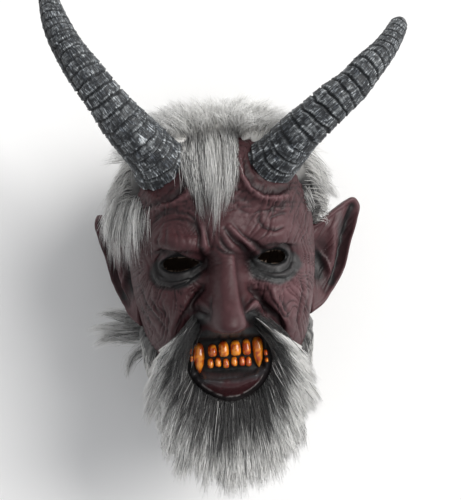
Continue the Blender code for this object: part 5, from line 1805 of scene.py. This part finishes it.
def floor_material():
    """Plain pale floor."""
    material, *_, shader = shader_nodes("pale_floor")
    set_inputs(shader, {"Base Color": (0.92, 0.92, 0.92, 1.0), "Roughness": 0.9})
    return material


# Camera, floor and light

def make_camera():
    """Camera in the photo's place, straight over the face and turned as the photo is."""
    yaw, roll = math.radians(CAMERA_YAW), math.radians(CAMERA_ROLL)
    back = Vector((-math.sin(yaw), 0.0, math.cos(yaw)))
    level = Vector((math.cos(yaw), 0.0, math.sin(yaw)))
    upright = Vector((0.0, 1.0, 0.0))
    right = math.cos(roll) * level - math.sin(roll) * upright
    up = math.sin(roll) * level + math.cos(roll) * upright
    camera = bpy.data.cameras.new("camera")
    width_seen = PHOTO_SIZE[0] * METRES_PER_PIXEL
    camera.sensor_fit = "HORIZONTAL"
    camera.sensor_width = SENSOR
    camera.lens = SENSOR * CAMERA_DISTANCE / width_seen
    camera.shift_x = (PHOTO_SIZE[0] / 2 - TARGET_PIXEL[0]) / PHOTO_SIZE[0]
    camera.shift_y = (TARGET_PIXEL[1] - PHOTO_SIZE[1] / 2) / PHOTO_SIZE[0]
    camera.clip_start = 0.05
    camera.clip_end = 20.0
    item = bpy.data.objects.new("camera", camera)
    turn = Matrix((right, up, back)).transposed().to_4x4()
    item.matrix_world = Matrix.Translation(Vector(TARGET) + CAMERA_DISTANCE * back) @ turn
    bpy.context.scene.collection.objects.link(item)
    bpy.context.scene.camera = item


def make_light():
    """Even soft light from the right and above."""
    light = bpy.data.lights.new("key", "SUN")
    light.energy = LIGHT_STRENGTH
    light.angle = math.radians(LIGHT_SPREAD)
    light.color = LIGHT_COLOUR
    item = bpy.data.objects.new("key", light)
    item.rotation_euler = Vector(LIGHT_FROM).to_track_quat("Z", "Y").to_euler()
    bpy.context.scene.collection.objects.link(item)


def make_floor(material):
    """Wide pale floor under the mask."""
    mesh = bpy.data.meshes.new("floor")
    half = FLOOR_HALF_WIDTH
    corners = [(-half, -half, 0.0), (half, -half, 0.0), (half, half, 0.0), (-half, half, 0.0)]
    mesh.from_pydata(corners, [], [(0, 1, 2, 3)])
    mesh.materials.append(material)
    item = bpy.data.objects.new("floor", mesh)
    bpy.context.scene.collection.objects.link(item)


def make_world():
    """Even pale surroundings."""
    world = bpy.data.worlds.new("surroundings")
    world.use_nodes = True
    set_inputs(world.node_tree.nodes["Background"], {"Color": SKY_COLOUR, "Strength": SKY_STRENGTH})
    bpy.context.scene.world = world


def main():
    """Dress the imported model."""
    make_camera()
    make_world()
    make_floor(floor_material())
    make_light()
    bpy.context.scene.view_settings.view_transform = "Standard"
    latex = latex_material()
    build_skin(latex)
    build_lining(latex)
    for side in SIDES:
        build_ear(side, latex)
    build_teeth(tooth_material())
    horn = horn_material()
    for side in SIDES:
        build_horn(side, horn)
    fur = fur_material()
    build_undercoat(fur)
    build_beard_undercoat(fur)
    build_hair(fur)
    build_beard(fur)


main()
